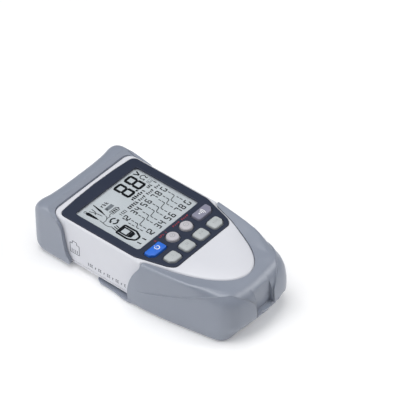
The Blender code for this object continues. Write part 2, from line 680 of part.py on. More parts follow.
def build_screws():
    for k, (x, y) in enumerate(HOUSING_SCREWS, 1):
        build_screw(f"housing_screw_{k}", x, y, z=3.05, head_h=0.6, length=11.0)
    build_screw("housing_screw_5", *TONGUE_SCREW, z=TONGUE_Z + 0.1, head_h=0.6, length=6.4)
    for side, (x, y) in zip(("left", "right"), CAP_SCREWS):
        build_screw(f"cap_screw_{side}", x, y, z=0.5, head_h=1.4, length=11.0)
    for k, (x, y) in enumerate(REMOTE_SCREWS, 1):
        build_screw(f"remote_screw_{k}", x, y, z=0.15, head_h=0.6, length=9.0)


# ------------------------------------------------------------------ remote terminal
def remote_ring(z, distance, end_factor):
    """One level of the skin: the arms roll over tighter than the end, the plate's edge is small."""
    ring = []
    for (x, y), (x_in, y_in) in zip(REMOTE_OUTLINE, inset(REMOTE_OUTLINE, distance, 1.75)):
        share = 1.0
        if z > 20.0:
            share -= 0.5 * smoothstep(-62.0, -40.0, y)
        elif z < 3.0:
            share -= 0.53 * smoothstep(-8.0, -2.0, y)
        share += (end_factor - 1.0) * smoothstep(-67.0, -75.0, y)
        ring.append((x + (x_in - x) * share, y + (y_in - y) * share, z))
    return ring


def build_remote_housing(cover_outline):
    remote = loft("remote_housing", [remote_ring(*level) for level in REMOTE_PROFILE])
    dock_outline = clip_y(BODY_OUTLINE, y_high=40)
    # only the plate is left in front (+Y) of the arms' curved edge
    cut(remote,
        side_prism("arm_front", ARM_EDGE + [(60, PLATE_TOP_Z), (60, 40.0)], -60, 60),
        prism("dock_upper", inset(dock_outline, -GAP), TONGUE_Z - GAP, 60),
        prism("dock_lower", inset(clip_y(dock_outline, y_low=THICK_END_Y), -GAP),
              PLATE_TOP_Z, 40))
    for side in (-1, 1):
        corner = [(side * x, PLATE_END_Y + y) for x, y in PLATE_CORNER]
        cut(remote, prism("corner", corner, -1, 5))

    # notch in the -Y end; its face is a little deeper at the top
    face_y = NOTCH_MOUTH_Y + NOTCH_DEPTH
    floor_z, top_z = NOTCH_Z
    cut(remote, side_prism("notch", [
        (NOTCH_MOUTH_Y - 8, floor_z), (face_y, floor_z),
        (face_y + NOTCH_LEAN, top_z), (NOTCH_MOUTH_Y - 8, top_z + 3)],
        -NOTCH_HALF_W, NOTCH_HALF_W))

    # cavity for the board, open below through a ledge that carries the cover
    cavity_outline = clip_y(inset(REMOTE_OUTLINE, 3.6, 3.4), y_high=REMOTE_CAVITY_Y)
    ledge_outline = clip_y(inset(REMOTE_OUTLINE, 8.6, 1.8), y_high=REMOTE_CAVITY_Y - 3.6)
    cut(remote,
        prism("cavity", cavity_outline, 3.6, TONGUE_Z - 2.4),
        prism("ledge", ledge_outline, -1, 5),
        prism("cover_seat", cover_outline, -1, 2.1))
    for x, y in REMOTE_SCREWS:
        join(remote, cylinder("post", x, y, 2.6, 2.1, TONGUE_Z - 1.4))
        cut_pilot(remote, x, y, 0, 15.0)
    cut(remote, port_window(0.0, -34, -20, REMOTE_PORT_Z))
    finish(remote, GREY, smooth=True)


def build_remote_cover(cover_outline):
    cover = prism("remote_base_cover", inset(cover_outline, GAP), 0.1, 1.8)
    for x, y in REMOTE_SCREWS:
        cut_screw_hole(cover, x, y, -1, 5, seat_r=2.8, seat_z=1.0)
    finish(cover, GREY)


def build_remote_board():
    board = prism("remote_pcb", mirrored([(24.5, -36.6), (21.5, -62.0)]), 5.5, 7.1)
    for x, y in REMOTE_SCREWS:
        cut(board, cylinder("post_hole", x, y, 3.0, 0, 9))
    finish(board, PCB)


def build_remote():
    cover_outline = clip_y(inset(REMOTE_OUTLINE, 7.0, 1.8), y_high=REMOTE_CAVITY_Y - 2.0)
    build_remote_housing(cover_outline)
    build_remote_cover(cover_outline)
    build_remote_board()
    # this socket faces the dock, and so is covered while the remote is on the tester
    build_socket("remote_rj45_socket", "remote_socket_contacts", 0.0,
                 REMOTE_PORT_Y, REMOTE_PORT_Z)


# ------------------------------------------------------------------ build
def build_tester():
    build_front_housing()
    build_rear_housing()
    build_end_cap()
    build_display()
    build_board()
    for key in KEYS:
        build_key(key)
        build_key_switch(key)
    for side, x in (("left", -PORT_X), ("right", PORT_X)):
        build_socket(f"rj45_socket_{side}", f"socket_contacts_{side}", x, PORT_Y, PORT_Z)
    build_battery()
    build_leads()
    build_battery_door()


for old_object in list(bpy.data.objects):
    bpy.data.objects.remove(old_object, do_unlink=True)
build_tester()
build_remote()
build_screws()
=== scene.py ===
"""Looks of the network cable tester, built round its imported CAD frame.

Sizes here are millimetres, Blender's are metres, both in the CAD's frame. The tester lies on its
back: X runs across it, Z up to its front face, and its grey end cap with two sockets is at +Y.
The remote terminal is docked at -Y, under and around the narrow tongue of the tester's body.
Each modelled piece rides on the same body as the CAD node it stands for.
"""

import math

import bmesh
import bpy
import numpy as np
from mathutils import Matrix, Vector
from mathutils.geometry import delaunay_2d_cdt

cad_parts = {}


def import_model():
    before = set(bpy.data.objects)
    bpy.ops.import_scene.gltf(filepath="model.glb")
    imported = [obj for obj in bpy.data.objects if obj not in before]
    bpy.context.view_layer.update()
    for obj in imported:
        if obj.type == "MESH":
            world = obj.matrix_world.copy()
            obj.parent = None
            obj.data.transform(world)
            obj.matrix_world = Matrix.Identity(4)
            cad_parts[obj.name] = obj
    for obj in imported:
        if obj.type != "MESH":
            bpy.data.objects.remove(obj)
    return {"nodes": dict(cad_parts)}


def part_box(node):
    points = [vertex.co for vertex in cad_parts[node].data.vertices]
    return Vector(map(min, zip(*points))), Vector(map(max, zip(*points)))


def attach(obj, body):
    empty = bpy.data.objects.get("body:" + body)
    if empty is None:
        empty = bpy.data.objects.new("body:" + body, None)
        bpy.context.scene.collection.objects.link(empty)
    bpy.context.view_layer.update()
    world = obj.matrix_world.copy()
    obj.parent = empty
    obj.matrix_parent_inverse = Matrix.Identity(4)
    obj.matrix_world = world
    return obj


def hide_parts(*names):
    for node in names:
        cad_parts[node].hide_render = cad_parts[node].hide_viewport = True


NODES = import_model()["nodes"]
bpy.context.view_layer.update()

# ------------------------------------------------------------ dimensions shared with the CAD (mm)
MM = 0.001
GAP = 0.3                                # clearance between neighbouring pieces
FRONT_Z = 35.5
REAR_Z = 2.9
SPLIT_Z = 6.0                            # seam between front and rear shell
WALL = 2.2
BODY_HALF_W = 34.7
BODY_TOP_Y = 58.2
BODY_CORNER_R = 7.0
THICK_END_Y = -30.0                      # beyond this, towards -Y, the body is a thin tongue
TONGUE_Z = 23.0                          # underside of the tongue
TONGUE_WALL = 1.7
CEILING_Z = 32.4
NECK_HALF_W, NECK_Y, NECK_Z0, NECK_Z1 = 31.4, 66.8, 4.7, 33.2
DISPLAY_X, DISPLAY_Y = 0.0, 21.5
DISPLAY_HALF_W, DISPLAY_HALF_H, DISPLAY_R = 27.2, 24.7, 2.4
BEZEL_POCKET_Z = 34.4
BEZEL_TOP = FRONT_Z + 0.3
CAP_HALF_W = 37.4
CAP_TOP_Z = 37.3
PORT_X = 15.5
PORT_Z = (12.6, 25.9)
PORT_W = 15.9
PORT_Y = (54.2, 69.6)                    # back and mouth
REMOTE_PORT_Z = (7.4, 20.0)
REMOTE_PORT_Y = (-47.0, -31.4)           # back and mouth
KEY_TOP_Z = 37.3
KEY_FLANGE = 0.5
DOOR_HALF_W, DOOR_Y0, DOOR_Y1 = 25.6, 25.0, 53.3
DOOR_Y, DOOR_HALF_H = (DOOR_Y0 + DOOR_Y1) / 2, (DOOR_Y1 - DOOR_Y0) / 2
PLATE_TOP_Z = 2.4                        # flat plate of the remote, below the tester
PLATE_END_Y = 24.5
REMOTE_CAVITY_Y = -33.0
LCD_TOP_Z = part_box("lcd_panel")[1].z / MM

# screw places: x, y
HOUSING_SCREWS = [(-29.6, 36.0), (29.6, 36.0), (-30.2, -3.0), (30.2, -3.0)]
TONGUE_SCREW = (0, -55.0)
CAP_SCREWS = [(-26.7, 61.8), (26.7, 61.8)]
REMOTE_SCREWS = [(-19.5, -44.0), (19.5, -44.0)]

# right half of the tongue, from the body's side to the middle of the -Y end: x, y
TONGUE_EDGE = [
    (34.7, -10.6), (32.4, -12.4), (30.6, -17.5), (27.0, -30.0), (24.4, -37.0), (21.8, -43.0),
    (19.3, -48.0), (16.2, -53.0), (12.2, -57.8), (7.8, -61.3), (3.5, -63.0), (0.0, -63.4)]
# right half of the remote, from beside the plate to the middle of the -Y end: x, y
REMOTE_EDGE = [
    (36.6, 10.0), (37.7, 2.0), (37.8, -6.0), (37.6, -12.0), (36.9, -20.0), (36.0, -28.0),
    (35.0, -35.0), (33.8, -42.0), (32.5, -49.0), (31.2, -56.0), (30.0, -62.0), (28.2, -67.3),
    (25.0, -71.6), (20.6, -74.3), (15.0, -75.6), (8.0, -76.4), (0.0, -76.7)]
# side profiles: z, distance inside the outline
REMOTE_PROFILE = [
    (0.0, 3.4), (0.7, 2.1), (2.2, 1.2), (4.8, 0.7), (9.0, 0.2), (16.0, 0.0), (22.0, 0.3),
    (26.5, 0.9), (29.8, 1.9), (32.0, 3.3), (33.3, 5.0), (33.8, 7.4)]
CAP_PROFILE = [
    (0.0, 4.6), (0.7, 2.7), (2.2, 1.3), (4.8, 0.35), (9.0, 0.0), (27.5, 0.0), (32.2, 0.15),
    (34.9, 0.75), (36.3, 1.6), (37.1, 2.8), (37.3, 4.2)]
REAR_PROFILE = [(REAR_Z, 2.6), (3.3, 1.5), (4.1, 0.55), (5.0, 0.1), (SPLIT_Z - 0.35, 0.0)]
# how many times deeper the remote's profile is at its -Y end: z, factor
END_UNDERCUT = [(0.0, 1.5), (0.7, 2.3), (2.2, 3.5), (4.8, 4.5), (9.0, 7.1), (12.0, 7.1)]
# keys: centre x, centre y, half width, half height, shape
KEYS = {
    "power_button": (-21.1, -11.0, 6.85, 3.6, "left"),
    "mode_button_left": (-6.1, -11.2, 4.3, 4.3, "round"),
    "mode_button_right": (6.1, -11.2, 4.3, 4.3, "round"),
    "scan_button": (21.1, -11.0, 6.85, 3.6, "right"),
    "function_key_1": (-19.2, -22.4, 4.85, 4.15, "corner_left"),
    "function_key_2": (-6.3, -22.4, 4.6, 4.15, "plain"),
    "function_key_3": (6.3, -22.4, 4.6, 4.15, "plain"),
    "function_key_4": (19.2, -22.4, 4.85, 4.15, "corner_right"),
}


# ------------------------------------------------------------ materials
class Graph:
    """Short hand for building a material's node tree."""

    def __init__(self, name):
        self.material = bpy.data.materials.new(name)
        self.material.use_nodes = True
        self.tree = self.material.node_tree
        self.bsdf = self.tree.nodes["Principled BSDF"]
        self.output = self.tree.nodes["Material Output"]
        self.coord = self.tree.nodes.new("ShaderNodeTexCoord").outputs["Object"]

    def feed(self, node, inputs):
        """Links or sets a node's inputs; colours are given without alpha."""
        for key, value in inputs.items():
            socket = node.inputs[key]
            if isinstance(value, bpy.types.NodeSocket):
                self.tree.links.new(value, socket)
            else:
                socket.default_value = (*value, 1.0) if socket.type == "RGBA" else value

    def node(self, kind, inputs=None, **settings):
        made = self.tree.nodes.new(kind)
        for key, value in settings.items():
            setattr(made, key, value)
        self.feed(made, inputs or {})
        return made

    def noise(self, size_mm, detail=2.0, stretch=None):
        vector = self.coord
        if stretch:
            vector = self.node("ShaderNodeMapping",
                               {"Scale": stretch, "Vector": vector}).outputs["Vector"]
        return self.node("ShaderNodeTexNoise", {
            "Scale": 1.0 / (size_mm * MM), "Detail": detail, "Roughness": 0.55,
            "Vector": vector}).outputs["Fac"]

    def span(self, value, from_min, from_max, to_min, to_max):
        return self.node("ShaderNodeMapRange", {
            "Value": value, "From Min": from_min, "From Max": from_max,
            "To Min": to_min, "To Max": to_max}).outputs["Result"]

    def uneven(self, size_mm, detail, low, high, band=(0.3, 0.7)):
        """Noise whose middle band is stretched over low to high."""
        return self.span(self.noise(size_mm, detail), *band, low, high)

    def mix(self, factor, first, second):
        return self.node("ShaderNodeMix", {0: factor, 6: first, 7: second},
                         data_type="RGBA", blend_type="MIX").outputs[2]

    def math(self, operation, first, second):
        return self.node("ShaderNodeMath", {0: first, 1: second}, operation=operation).outputs[0]

    def bump(self, height, distance_mm, strength=1.0, normal=None):
        inputs = {"Distance": distance_mm * MM, "Strength": strength, "Height": height}
        if normal:
            inputs["Normal"] = normal
        return self.node("ShaderNodeBump", inputs).outputs["Normal"]

    def geometry(self, output):
        return self.node("ShaderNodeNewGeometry").outputs[output]

    def edge_mask(self, radius_mm):
        """1 at sharp edges and 0 on open surfaces, and the rounded normal it comes from."""
        normal = self.node("ShaderNodeBevel", {"Radius": radius_mm * MM},
                           samples=4).outputs["Normal"]
        dot = self.node("ShaderNodeVectorMath", {0: normal, 1: self.geometry("Normal")},
                        operation="DOT_PRODUCT").outputs["Value"]
        return self.span(dot, 0.995, 0.80, 0.0, 1.0), normal

    def done(self, view_colour, alpha=1.0):
        self.material.diffuse_color = (*view_colour, alpha)
        return self.material


def moulded(name, colour, rough, *, grain, depth, blotch, wear_and_highlight=0.10, edge=0.22, metal=0.0,
            coat=0.0, specular=0.5, ripple=4.0, ripple_depth=0.01, stretch=None):
    """Moulded plastic or metal: fine grain, faint mottling, uneven sheen, edges lightened partly by
    wear and partly by a painted highlight.

    grain and ripple are sizes of the fine and the broad bumps, depth and ripple_depth their
    heights, and edge is the rounding of edges, all in mm. blotch is a share, and so is the
    lightening of edges, which is part wear and part painted highlight.
    """
    graph = Graph(name)
    mask, normal = graph.edge_mask(edge)
    darker = tuple(c * (1 - blotch) for c in colour)
    lighter = tuple(min(1.0, c * (1 + blotch)) for c in colour)
    fleck_colour = tuple(c * (1 - blotch * 0.8) for c in colour)
    # colour of the lightened edges: part wear, part painted highlight
    worn_and_highlit_colour = tuple(c + (1 - c) * 0.35 for c in colour)
    shade = graph.mix(graph.uneven(14.0, 3.0, 0.0, 1.0), darker, lighter)
    shade = graph.mix(graph.uneven(0.9, 4.0, 0.0, 0.5, band=(0.35, 0.65)), shade, fleck_colour)
    # lighter edges: partly wear, partly a painted highlight that stands in for light catching edges
    # and creases
    worn_and_highlit = graph.math("MULTIPLY", mask, graph.uneven(2.4, 4.0, 0.25, 1.0, band=(0.35, 0.7)))
    shade = graph.mix(graph.math("MULTIPLY", worn_and_highlit, wear_and_highlight), shade, worn_and_highlit_colour)
    sheen = graph.uneven(6.0, 4.0, rough - 0.045, rough + 0.045)
    sheen = graph.math("SUBTRACT", sheen, graph.math("MULTIPLY", worn_and_highlit, 0.06))
    wavy = graph.bump(graph.noise(ripple, 1.0), ripple_depth, 0.6, normal)
    fine = graph.bump(graph.noise(grain, 2.0, stretch), depth, 0.8, wavy)
    graph.feed(graph.bsdf, {"Base Color": shade, "Roughness": sheen, "Metallic": metal,
                            "Specular IOR Level": specular, "Normal": fine})
    if coat:
        graph.feed(graph.bsdf, {"Coat Weight": coat, "Coat Roughness": 0.12})
    return graph.done(colour)


def window_material(name):
    """Thin clear plastic: see-through, with a faint uneven reflection on its outer side."""
    graph = Graph(name)
    clear = graph.node("ShaderNodeBsdfTransparent", {"Color": (0.975, 0.985, 0.99)})
    gloss = graph.node("ShaderNodeBsdfGlossy", {
        "Roughness": graph.uneven(3.0, 4.0, 0.05, 0.13),
        "Normal": graph.bump(graph.noise(5.0, 2.0), distance_mm=0.004, strength=0.3)})
    fresnel = graph.node("ShaderNodeFresnel", {"IOR": 1.42}).outputs[0]
    front_only = graph.math("SUBTRACT", 1.0, graph.geometry("Backfacing"))
    share = graph.math("MULTIPLY", graph.math("MULTIPLY", fresnel, 0.40), front_only)
    mix = graph.node("ShaderNodeMixShader", {0: share, 1: clear.outputs[0], 2: gloss.outputs[0]})
    graph.feed(graph.output, {"Surface": mix.outputs[0]})
    graph.tree.nodes.remove(graph.bsdf)
    return graph.done((0.8, 0.85, 0.9), alpha=0.3)


def board_material(name):
    """Solder mask over copper tracks, drawn by the joints of a brick pattern."""
    graph = Graph(name)
    mask, normal = graph.edge_mask(0.15)
    tracks = graph.node("ShaderNodeTexBrick", {
        "Scale": 260.0, "Mortar Size": 0.035, "Color1": (0, 0, 0), "Color2": (0, 0, 0),
        "Mortar": (1, 1, 1), "Vector": graph.coord}, offset=0.35).outputs["Fac"]
    shade = graph.mix(graph.uneven(9.0, 3.0, 0.0, 1.0), (0.012, 0.13, 0.045), (0.018, 0.17, 0.06))
    shade = graph.mix(graph.math("MULTIPLY", tracks, 0.6), shade, (0.05, 0.30, 0.10))
    shade = graph.mix(graph.math("MULTIPLY", mask, 0.7), shade, (0.45, 0.38, 0.20))
    graph.feed(graph.bsdf, {
        "Base Color": shade, "Roughness": graph.uneven(1.5, 3.0, 0.32, 0.46),
        "Normal": graph.bump(tracks, distance_mm=0.03, normal=normal)})
    return graph.done((0.015, 0.15, 0.05))


def lcd_material(name):
    """Display glass: even silvery grey, faintly mottled, with a fine cell grain and a faint painted
    glow that lifts the shade of its recess.
    """
    dark, light = (0.50, 0.525, 0.545), (0.54, 0.56, 0.58)
    graph = Graph(name)
    tone = graph.mix(graph.uneven(24.0, 2.0, 0.0, 1.0), dark, light)
    cells = graph.node("ShaderNodeTexVoronoi", {
        "Scale": 1.0 / (0.35 * MM), "Vector": graph.coord}).outputs["Distance"]
    tone = graph.mix(graph.span(cells, 0.0, 1.0, 0.0, 0.03), tone, (0.30, 0.33, 0.34))
    # the emission is a painted glow: it evens out the shade that the recess casts on the display
    graph.feed(graph.bsdf, {
        "Base Color": tone, "Emission Color": tone, "Emission Strength": 0.10,
        "Roughness": graph.uneven(2.0, 3.0, 0.42, 0.5), "Specular IOR Level": 0.2,
        "Normal": graph.bump(cells, distance_mm=0.004)})
    return graph.done(dark)


def rubber(name, colour, rough=0.50, blotch=0.03, wear_and_highlight=0.10):
    return moulded(name, colour, rough, grain=0.20, depth=0.012, blotch=blotch, wear_and_highlight=wear_and_highlight,
                   edge=0.3)


def ink(name, colour, rough=0.55, blotch=0.10, depth=0.003, specular=0.5):
    return moulded(name, colour, rough, grain=0.12, depth=depth, blotch=blotch, wear_and_highlight=0.0,
                   edge=0.05, specular=specular)


WHITE = moulded("white_shell_plastic", (0.70, 0.71, 0.76), 0.38, grain=0.30, depth=0.012,
                blotch=0.012, wear_and_highlight=0.15)
# its strong edge lightening is mostly a painted highlight along edges and the remote's crease,
# besides wear
GREY = moulded("grey_shell_plastic", (0.266, 0.294, 0.358), 0.33, grain=0.26, depth=0.006,
               blotch=0.012, wear_and_highlight=0.50, edge=0.35, specular=0.65, ripple=9.0, ripple_depth=0.006)
NAVY = moulded("navy_panel_film", (0.026, 0.034, 0.060), 0.42, grain=0.16, depth=0.006,
               blotch=0.05, wear_and_highlight=0.16, edge=0.3, specular=0.35)
CLEAR = window_material("clear_window_plastic")
LCD = lcd_material("display_glass")
INK = ink("display_segment", (0.006, 0.007, 0.010), blotch=0.06, depth=0.002, specular=0.15)
INK_DIM = ink("display_segment_faint", (0.20, 0.215, 0.235), blotch=0.05, depth=0.002,
              specular=0.15)
KEY_GREY = rubber("key_grey_rubber", (0.47, 0.50, 0.51))
KEY_ROUND = rubber("key_round_rubber", (0.53, 0.515, 0.55))
KEY_VIOLET = rubber("key_violet_rubber", (0.245, 0.245, 0.325), 0.52, blotch=0.04, wear_and_highlight=0.14)
KEY_BLUE = rubber("key_blue_rubber", (0.024, 0.150, 0.66), 0.45, blotch=0.05, wear_and_highlight=0.12)
PRINT_WHITE = ink("print_white", (0.86, 0.87, 0.90), 0.5, blotch=0.04)
PRINT_GREY = ink("print_grey", (0.11, 0.12, 0.15))
PRINT_SOFT = ink("print_soft_grey", (0.33, 0.34, 0.36))
PRINT_RED = ink("print_red", (0.36, 0.028, 0.035), 0.5, blotch=0.12)
BLACK = moulded("black_socket_plastic", (0.018, 0.018, 0.020), 0.45, grain=0.20, depth=0.010,
                blotch=0.10, wear_and_highlight=0.25)
GUIDE = moulded("light_guide_acrylic", (0.80, 0.82, 0.80), 0.30, grain=0.5, depth=0.006,
                blotch=0.02, coat=0.3)
GOLD = moulded("gold_contact_metal", (0.83, 0.58, 0.20), 0.26, grain=0.10, depth=0.004,
               blotch=0.06, metal=1.0, edge=0.08, stretch=(1.0, 0.1, 1.0))
STEEL = moulded("zinc_screw_metal", (0.60, 0.61, 0.63), 0.30, grain=0.12, depth=0.008,
                blotch=0.06, metal=1.0, edge=0.15, stretch=(1.0, 0.15, 1.0))
FLEX = moulded("flex_cable_film", (0.42, 0.21, 0.05), 0.40, grain=0.5, depth=0.01, blotch=0.10,
               stretch=(1.0, 0.1, 1.0))
JACKET = moulded("battery_jacket_film", (0.045, 0.055, 0.075), 0.34, grain=0.3, depth=0.006,
                 blotch=0.08, coat=0.3)
RED = moulded("red_wire_sleeve", (0.50, 0.018, 0.018), 0.45, grain=0.25, depth=0.008, blotch=0.08)
BOARD = board_material("circuit_board_mask")


# ------------------------------------------------------------ outlines (lists of x, y)
def rounded(points, radii, seg=4):
    """Closed outline through the given corners, each rounded by its radius."""
    out = []
    count = len(points)
    for i in range(count):
        corner = Vector(points[i])
        back = Vector(points[i - 1]) - corner
        ahead = Vector(points[(i + 1) % count]) - corner
        radius = radii[i] if isinstance(radii, (list, tuple)) else radii
        angle = back.angle(ahead)
        if radius <= 0 or angle > math.pi - 0.02:
            out.append((corner.x, corner.y))
            continue
        reach = min(radius / math.tan(angle / 2), 0.49 * back.length, 0.49 * ahead.length)
        start = corner + back.normalized() * reach
        end = corner + ahead.normalized() * reach
        for k in range(seg + 1):
            t = k / seg
            point = start * (1 - t) ** 2 + corner * 2 * t * (1 - t) + end * t ** 2
            out.append((point.x, point.y))
    return out


def rect(x, y, half_w, half_h, radius, seg=4):
    return rounded([(x - half_w, y - half_h), (x + half_w, y - half_h),
                    (x + half_w, y + half_h), (x - half_w, y + half_h)], radius, seg)


def circle(x, y, radius, count=28):
    angles = [2 * math.pi * k / count for k in range(count)]
    return [(x + radius * math.cos(a), y + radius * math.sin(a)) for a in angles]


def arc(x, y, radius, degrees, radius_y=None):
    """Points of a circle or ellipse at the given angles."""
    angles = [math.radians(d) for d in degrees]
    return [(x + radius * math.cos(a), y + (radius_y or radius) * math.sin(a)) for a in angles]


def spline(points, step, before=None, after=None):
    """Evenly spaced points on a Catmull-Rom curve through the given points, of any dimension."""
    pts = [np.array(p, float) for p in points]
    first = np.array(before, float) if before is not None else 2 * pts[0] - pts[1]
    last = np.array(after, float) if after is not None else 2 * pts[-1] - pts[-2]
    pts = [first] + pts + [last]
    fine = []
    for prior, start, end, following in zip(pts, pts[1:], pts[2:], pts[3:]):
        run_in = max(1e-6, np.linalg.norm(start - prior) ** 0.5)
        run = max(1e-6, np.linalg.norm(end - start) ** 0.5)
        run_out = max(1e-6, np.linalg.norm(following - end) ** 0.5)
        slope_in = ((start - prior) / run_in - (end - prior) / (run_in + run)
                    + (end - start) / run) * run
        slope_out = ((end - start) / run - (following - start) / (run + run_out)
                     + (following - end) / run_out) * run
        for k in range(24):
            t = k / 24
            fine.append((2 * t ** 3 - 3 * t ** 2 + 1) * start + (t ** 3 - 2 * t ** 2 + t) * slope_in
                        + (3 * t ** 2 - 2 * t ** 3) * end + (t ** 3 - t ** 2) * slope_out)
    fine.append(pts[-2])
    return resample(fine, step)


def run_lengths(line):
    """Distance along a polyline at each of its points."""
    return np.concatenate([[0.0], np.cumsum(np.linalg.norm(np.diff(line, axis=0), axis=1))])


def resample(line, step):
    line = np.array(line, float)
    run = run_lengths(line)
    count = max(2, int(round(run[-1] / step)) + 1)
    return [tuple(float(np.interp(at, run, line[:, c])) for c in range(line.shape[1]))
            for at in np.linspace(0, run[-1], count)]


def normals_of(outline, spread=0):
    """Inward unit normals of an anticlockwise outline and their mitre factors.

    The normals are averaged over neighbours spread times, which leaves no mitre.
    """
    points = np.array(outline, float)
    edge_in = points - np.roll(points, 1, axis=0)
    edge_out = np.roll(points, -1, axis=0) - points
    edge_in /= np.linalg.norm(edge_in, axis=1, keepdims=True)
    edge_out /= np.linalg.norm(edge_out, axis=1, keepdims=True)
    normals = np.stack([-(edge_in[:, 1] + edge_out[:, 1]), edge_in[:, 0] + edge_out[:, 0]], axis=1)
    normals /= np.linalg.norm(normals, axis=1, keepdims=True)
    mitre = 1.0 / np.maximum(0.6, -normals[:, 0] * edge_in[:, 1] + normals[:, 1] * edge_in[:, 0])
    if spread:
        for _ in range(spread):
            normals = (np.roll(normals, 1, axis=0) * 0.25 + normals * 0.5
                       + np.roll(normals, -1, axis=0) * 0.25)
        normals /= np.linalg.norm(normals, axis=1, keepdims=True)
        mitre[:] = 1.0
    return normals, mitre


def inset(outline, distance, grow_y=1.0, spread=0):
    """The outline moved inwards; the part that faces along Y moves grow_y times as far."""
    normals, mitre = normals_of(outline, spread)
    factor = 1.0 + (grow_y - 1.0) * normals[:, 1] ** 2
    moved = np.array(outline, float) + normals * (mitre * factor * distance)[:, None]
    return [tuple(point) for point in moved.tolist()]


def mirrored(right_half):
    """Whole outline from its right half; any columns after x are kept."""
    return [(-x, *rest) for x, *rest in right_half if x > 1e-6] + list(reversed(right_half))


def without_repeats(line):
    return [p for i, p in enumerate(line) if math.dist(p, line[i - 1]) > 0.02]


def clip_y(outline, y_low=None, y_high=None):
    for limit, keep in ((y_low, 1), (y_high, -1)):
        if limit is None:
            continue
        out = []
        for i, point in enumerate(outline):
            after = outline[(i + 1) % len(outline)]
            here_in, after_in = keep * (point[1] - limit) >= 0, keep * (after[1] - limit) >= 0
            if here_in:
                out.append(point)
            if here_in != after_in and min(abs(point[1] - limit), abs(after[1] - limit)) > 1e-6:
                t = (limit - point[1]) / (after[1] - point[1])
                out.append((point[0] + t * (after[0] - point[0]), limit))
        outline = out
    return outline


def smoothstep(start, end, value):
    t = np.clip((np.asarray(value, float) - start) / (end - start), 0.0, 1.0)
    return t * t * (3 - 2 * t)


def inside(outline, points):
    """Which of the points lie inside the outline."""
    start = np.array(outline, float)
    end = np.roll(start, -1, axis=0)
    x, y = points[:, 0][:, None], points[:, 1][:, None]
    crosses = (start[:, 1] > y) != (end[:, 1] > y)
    with np.errstate(divide="ignore", invalid="ignore"):
        at = ((end[:, 0] - start[:, 0]) * (y - start[:, 1]) / (end[:, 1] - start[:, 1])
              + start[:, 0])
    return (np.sum(crosses & (x < at), axis=1) % 2) == 1


def distance_to(outline, points):
    corners = np.array(outline, float)
    return np.min(np.linalg.norm(points[:, None, :] - corners[None, :, :], axis=2), axis=1)


# ------------------------------------------------------------ solids
def obj_from_bm(bm, name="solid"):
    bmesh.ops.recalc_face_normals(bm, faces=bm.faces)
    if bm.calc_volume(signed=True) < 0:
        bmesh.ops.reverse_faces(bm, faces=bm.faces)
    mesh = bpy.data.meshes.new(name)
    bm.to_mesh(mesh)
    bm.free()
    obj = bpy.data.objects.new(name, mesh)
    bpy.context.scene.collection.objects.link(obj)
    return obj


def loft(rings, top=None):
    """Closed solid through rings of equal point count; top may be a function that closes it."""
    bm = bmesh.new()
    rows = [[bm.verts.new((x * MM, y * MM, z * MM)) for x, y, z in ring] for ring in rings]
    count = len(rows[0])
    for lower, upper in zip(rows, rows[1:]):
        for i in range(count):
            j = (i + 1) % count
            bm.faces.new((lower[i], lower[j], upper[j], upper[i]))
    bm.faces.new(list(reversed(rows[0])))
    if top:
        top(bm, rows[-1])
    else:
        bm.faces.new(rows[-1])
    return obj_from_bm(bm)


def level(outline, z):
    """The outline as a ring at one height."""
    return [(x, y, z) for x, y in outline]


def rolled_edge(outline, z_top, drop, inward, steps):
    """Rings over a quarter turn that ends at z_top, moved in by inward."""
    angles = [math.pi / 2 * k / steps for k in range(steps + 1)]
    return [level(inset(outline, inward * (1 - math.cos(a))), z_top - drop * (1 - math.sin(a)))
            for a in angles]


def prism(outline, z0, z1):
    return loft([level(outline, z0), level(outline, z1)])


def pocket(outline, z0, z_face, z1, lip):
    """Cutter whose mouth at z_face flares by lip, which leaves a rounded rim on the cut."""
    return loft([level(outline, z0)] + rolled_edge(outline, z_face, lip, -lip, 4)
                + [level(inset(outline, -lip), z1)])


def side_prism(outline_yz, x0, x1):
    return loft([[(x, y, z) for y, z in outline_yz] for x in (x0, x1)])


def box(x0, x1, y0, y1, z0, z1):
    return prism([(x0, y0), (x1, y0), (x1, y1), (x0, y1)], z0, z1)


def cylinder(x, y, radius, z0, z1, count=32):
    return prism(circle(x, y, radius, count), z0, z1)


def boolean(obj, others, operation):
    """Applies one Boolean per other object, which is used up."""
    for other in others:
        before = len(obj.data.vertices)
        # a cut that did nothing is made again with the exact solver
        for solver in ("MANIFOLD", "EXACT"):
            mod = obj.modifiers.new("bool", "BOOLEAN")
            mod.operation = operation
            mod.solver = solver
            mod.object = other
            bpy.context.view_layer.update()
            evaluated = obj.evaluated_get(bpy.context.evaluated_depsgraph_get())
            mesh = bpy.data.meshes.new_from_object(evaluated)
            obj.modifiers.remove(mod)
            if len(mesh.vertices) not in (0, before):
                break
        old = obj.data
        obj.data = mesh
        bpy.data.meshes.remove(old)
        bpy.data.objects.remove(other, do_unlink=True)
    return obj


def cut(obj, *others):
    return boolean(obj, others, "DIFFERENCE")


def join(obj, *others):
    return boolean(obj, others, "UNION")


def add_boss(obj, x, y, radius, z0, z1, pilot_top):
    """Joins an upright screw post and drills its pilot hole from below."""
    join(obj, cylinder(x, y, radius, z0, z1, 24))
    return cut(obj, cylinder(x, y, 1.35, 0, pilot_top, 20))


def counterbore(obj, x, y, z0, z1, seat_radius, seat_top):
    """Cuts a screw's clearance hole and the wider seat below it for the head."""
    return cut(obj, cylinder(x, y, 1.75, z0, z1), cylinder(x, y, seat_radius, z0, seat_top))


def port_window(x, y0, y1, z_range):
    """Cutter for a socket's opening."""
    return box(x - PORT_W / 2 - GAP, x + PORT_W / 2 + GAP, y0, y1,
               z_range[0] - GAP, z_range[1] + GAP)


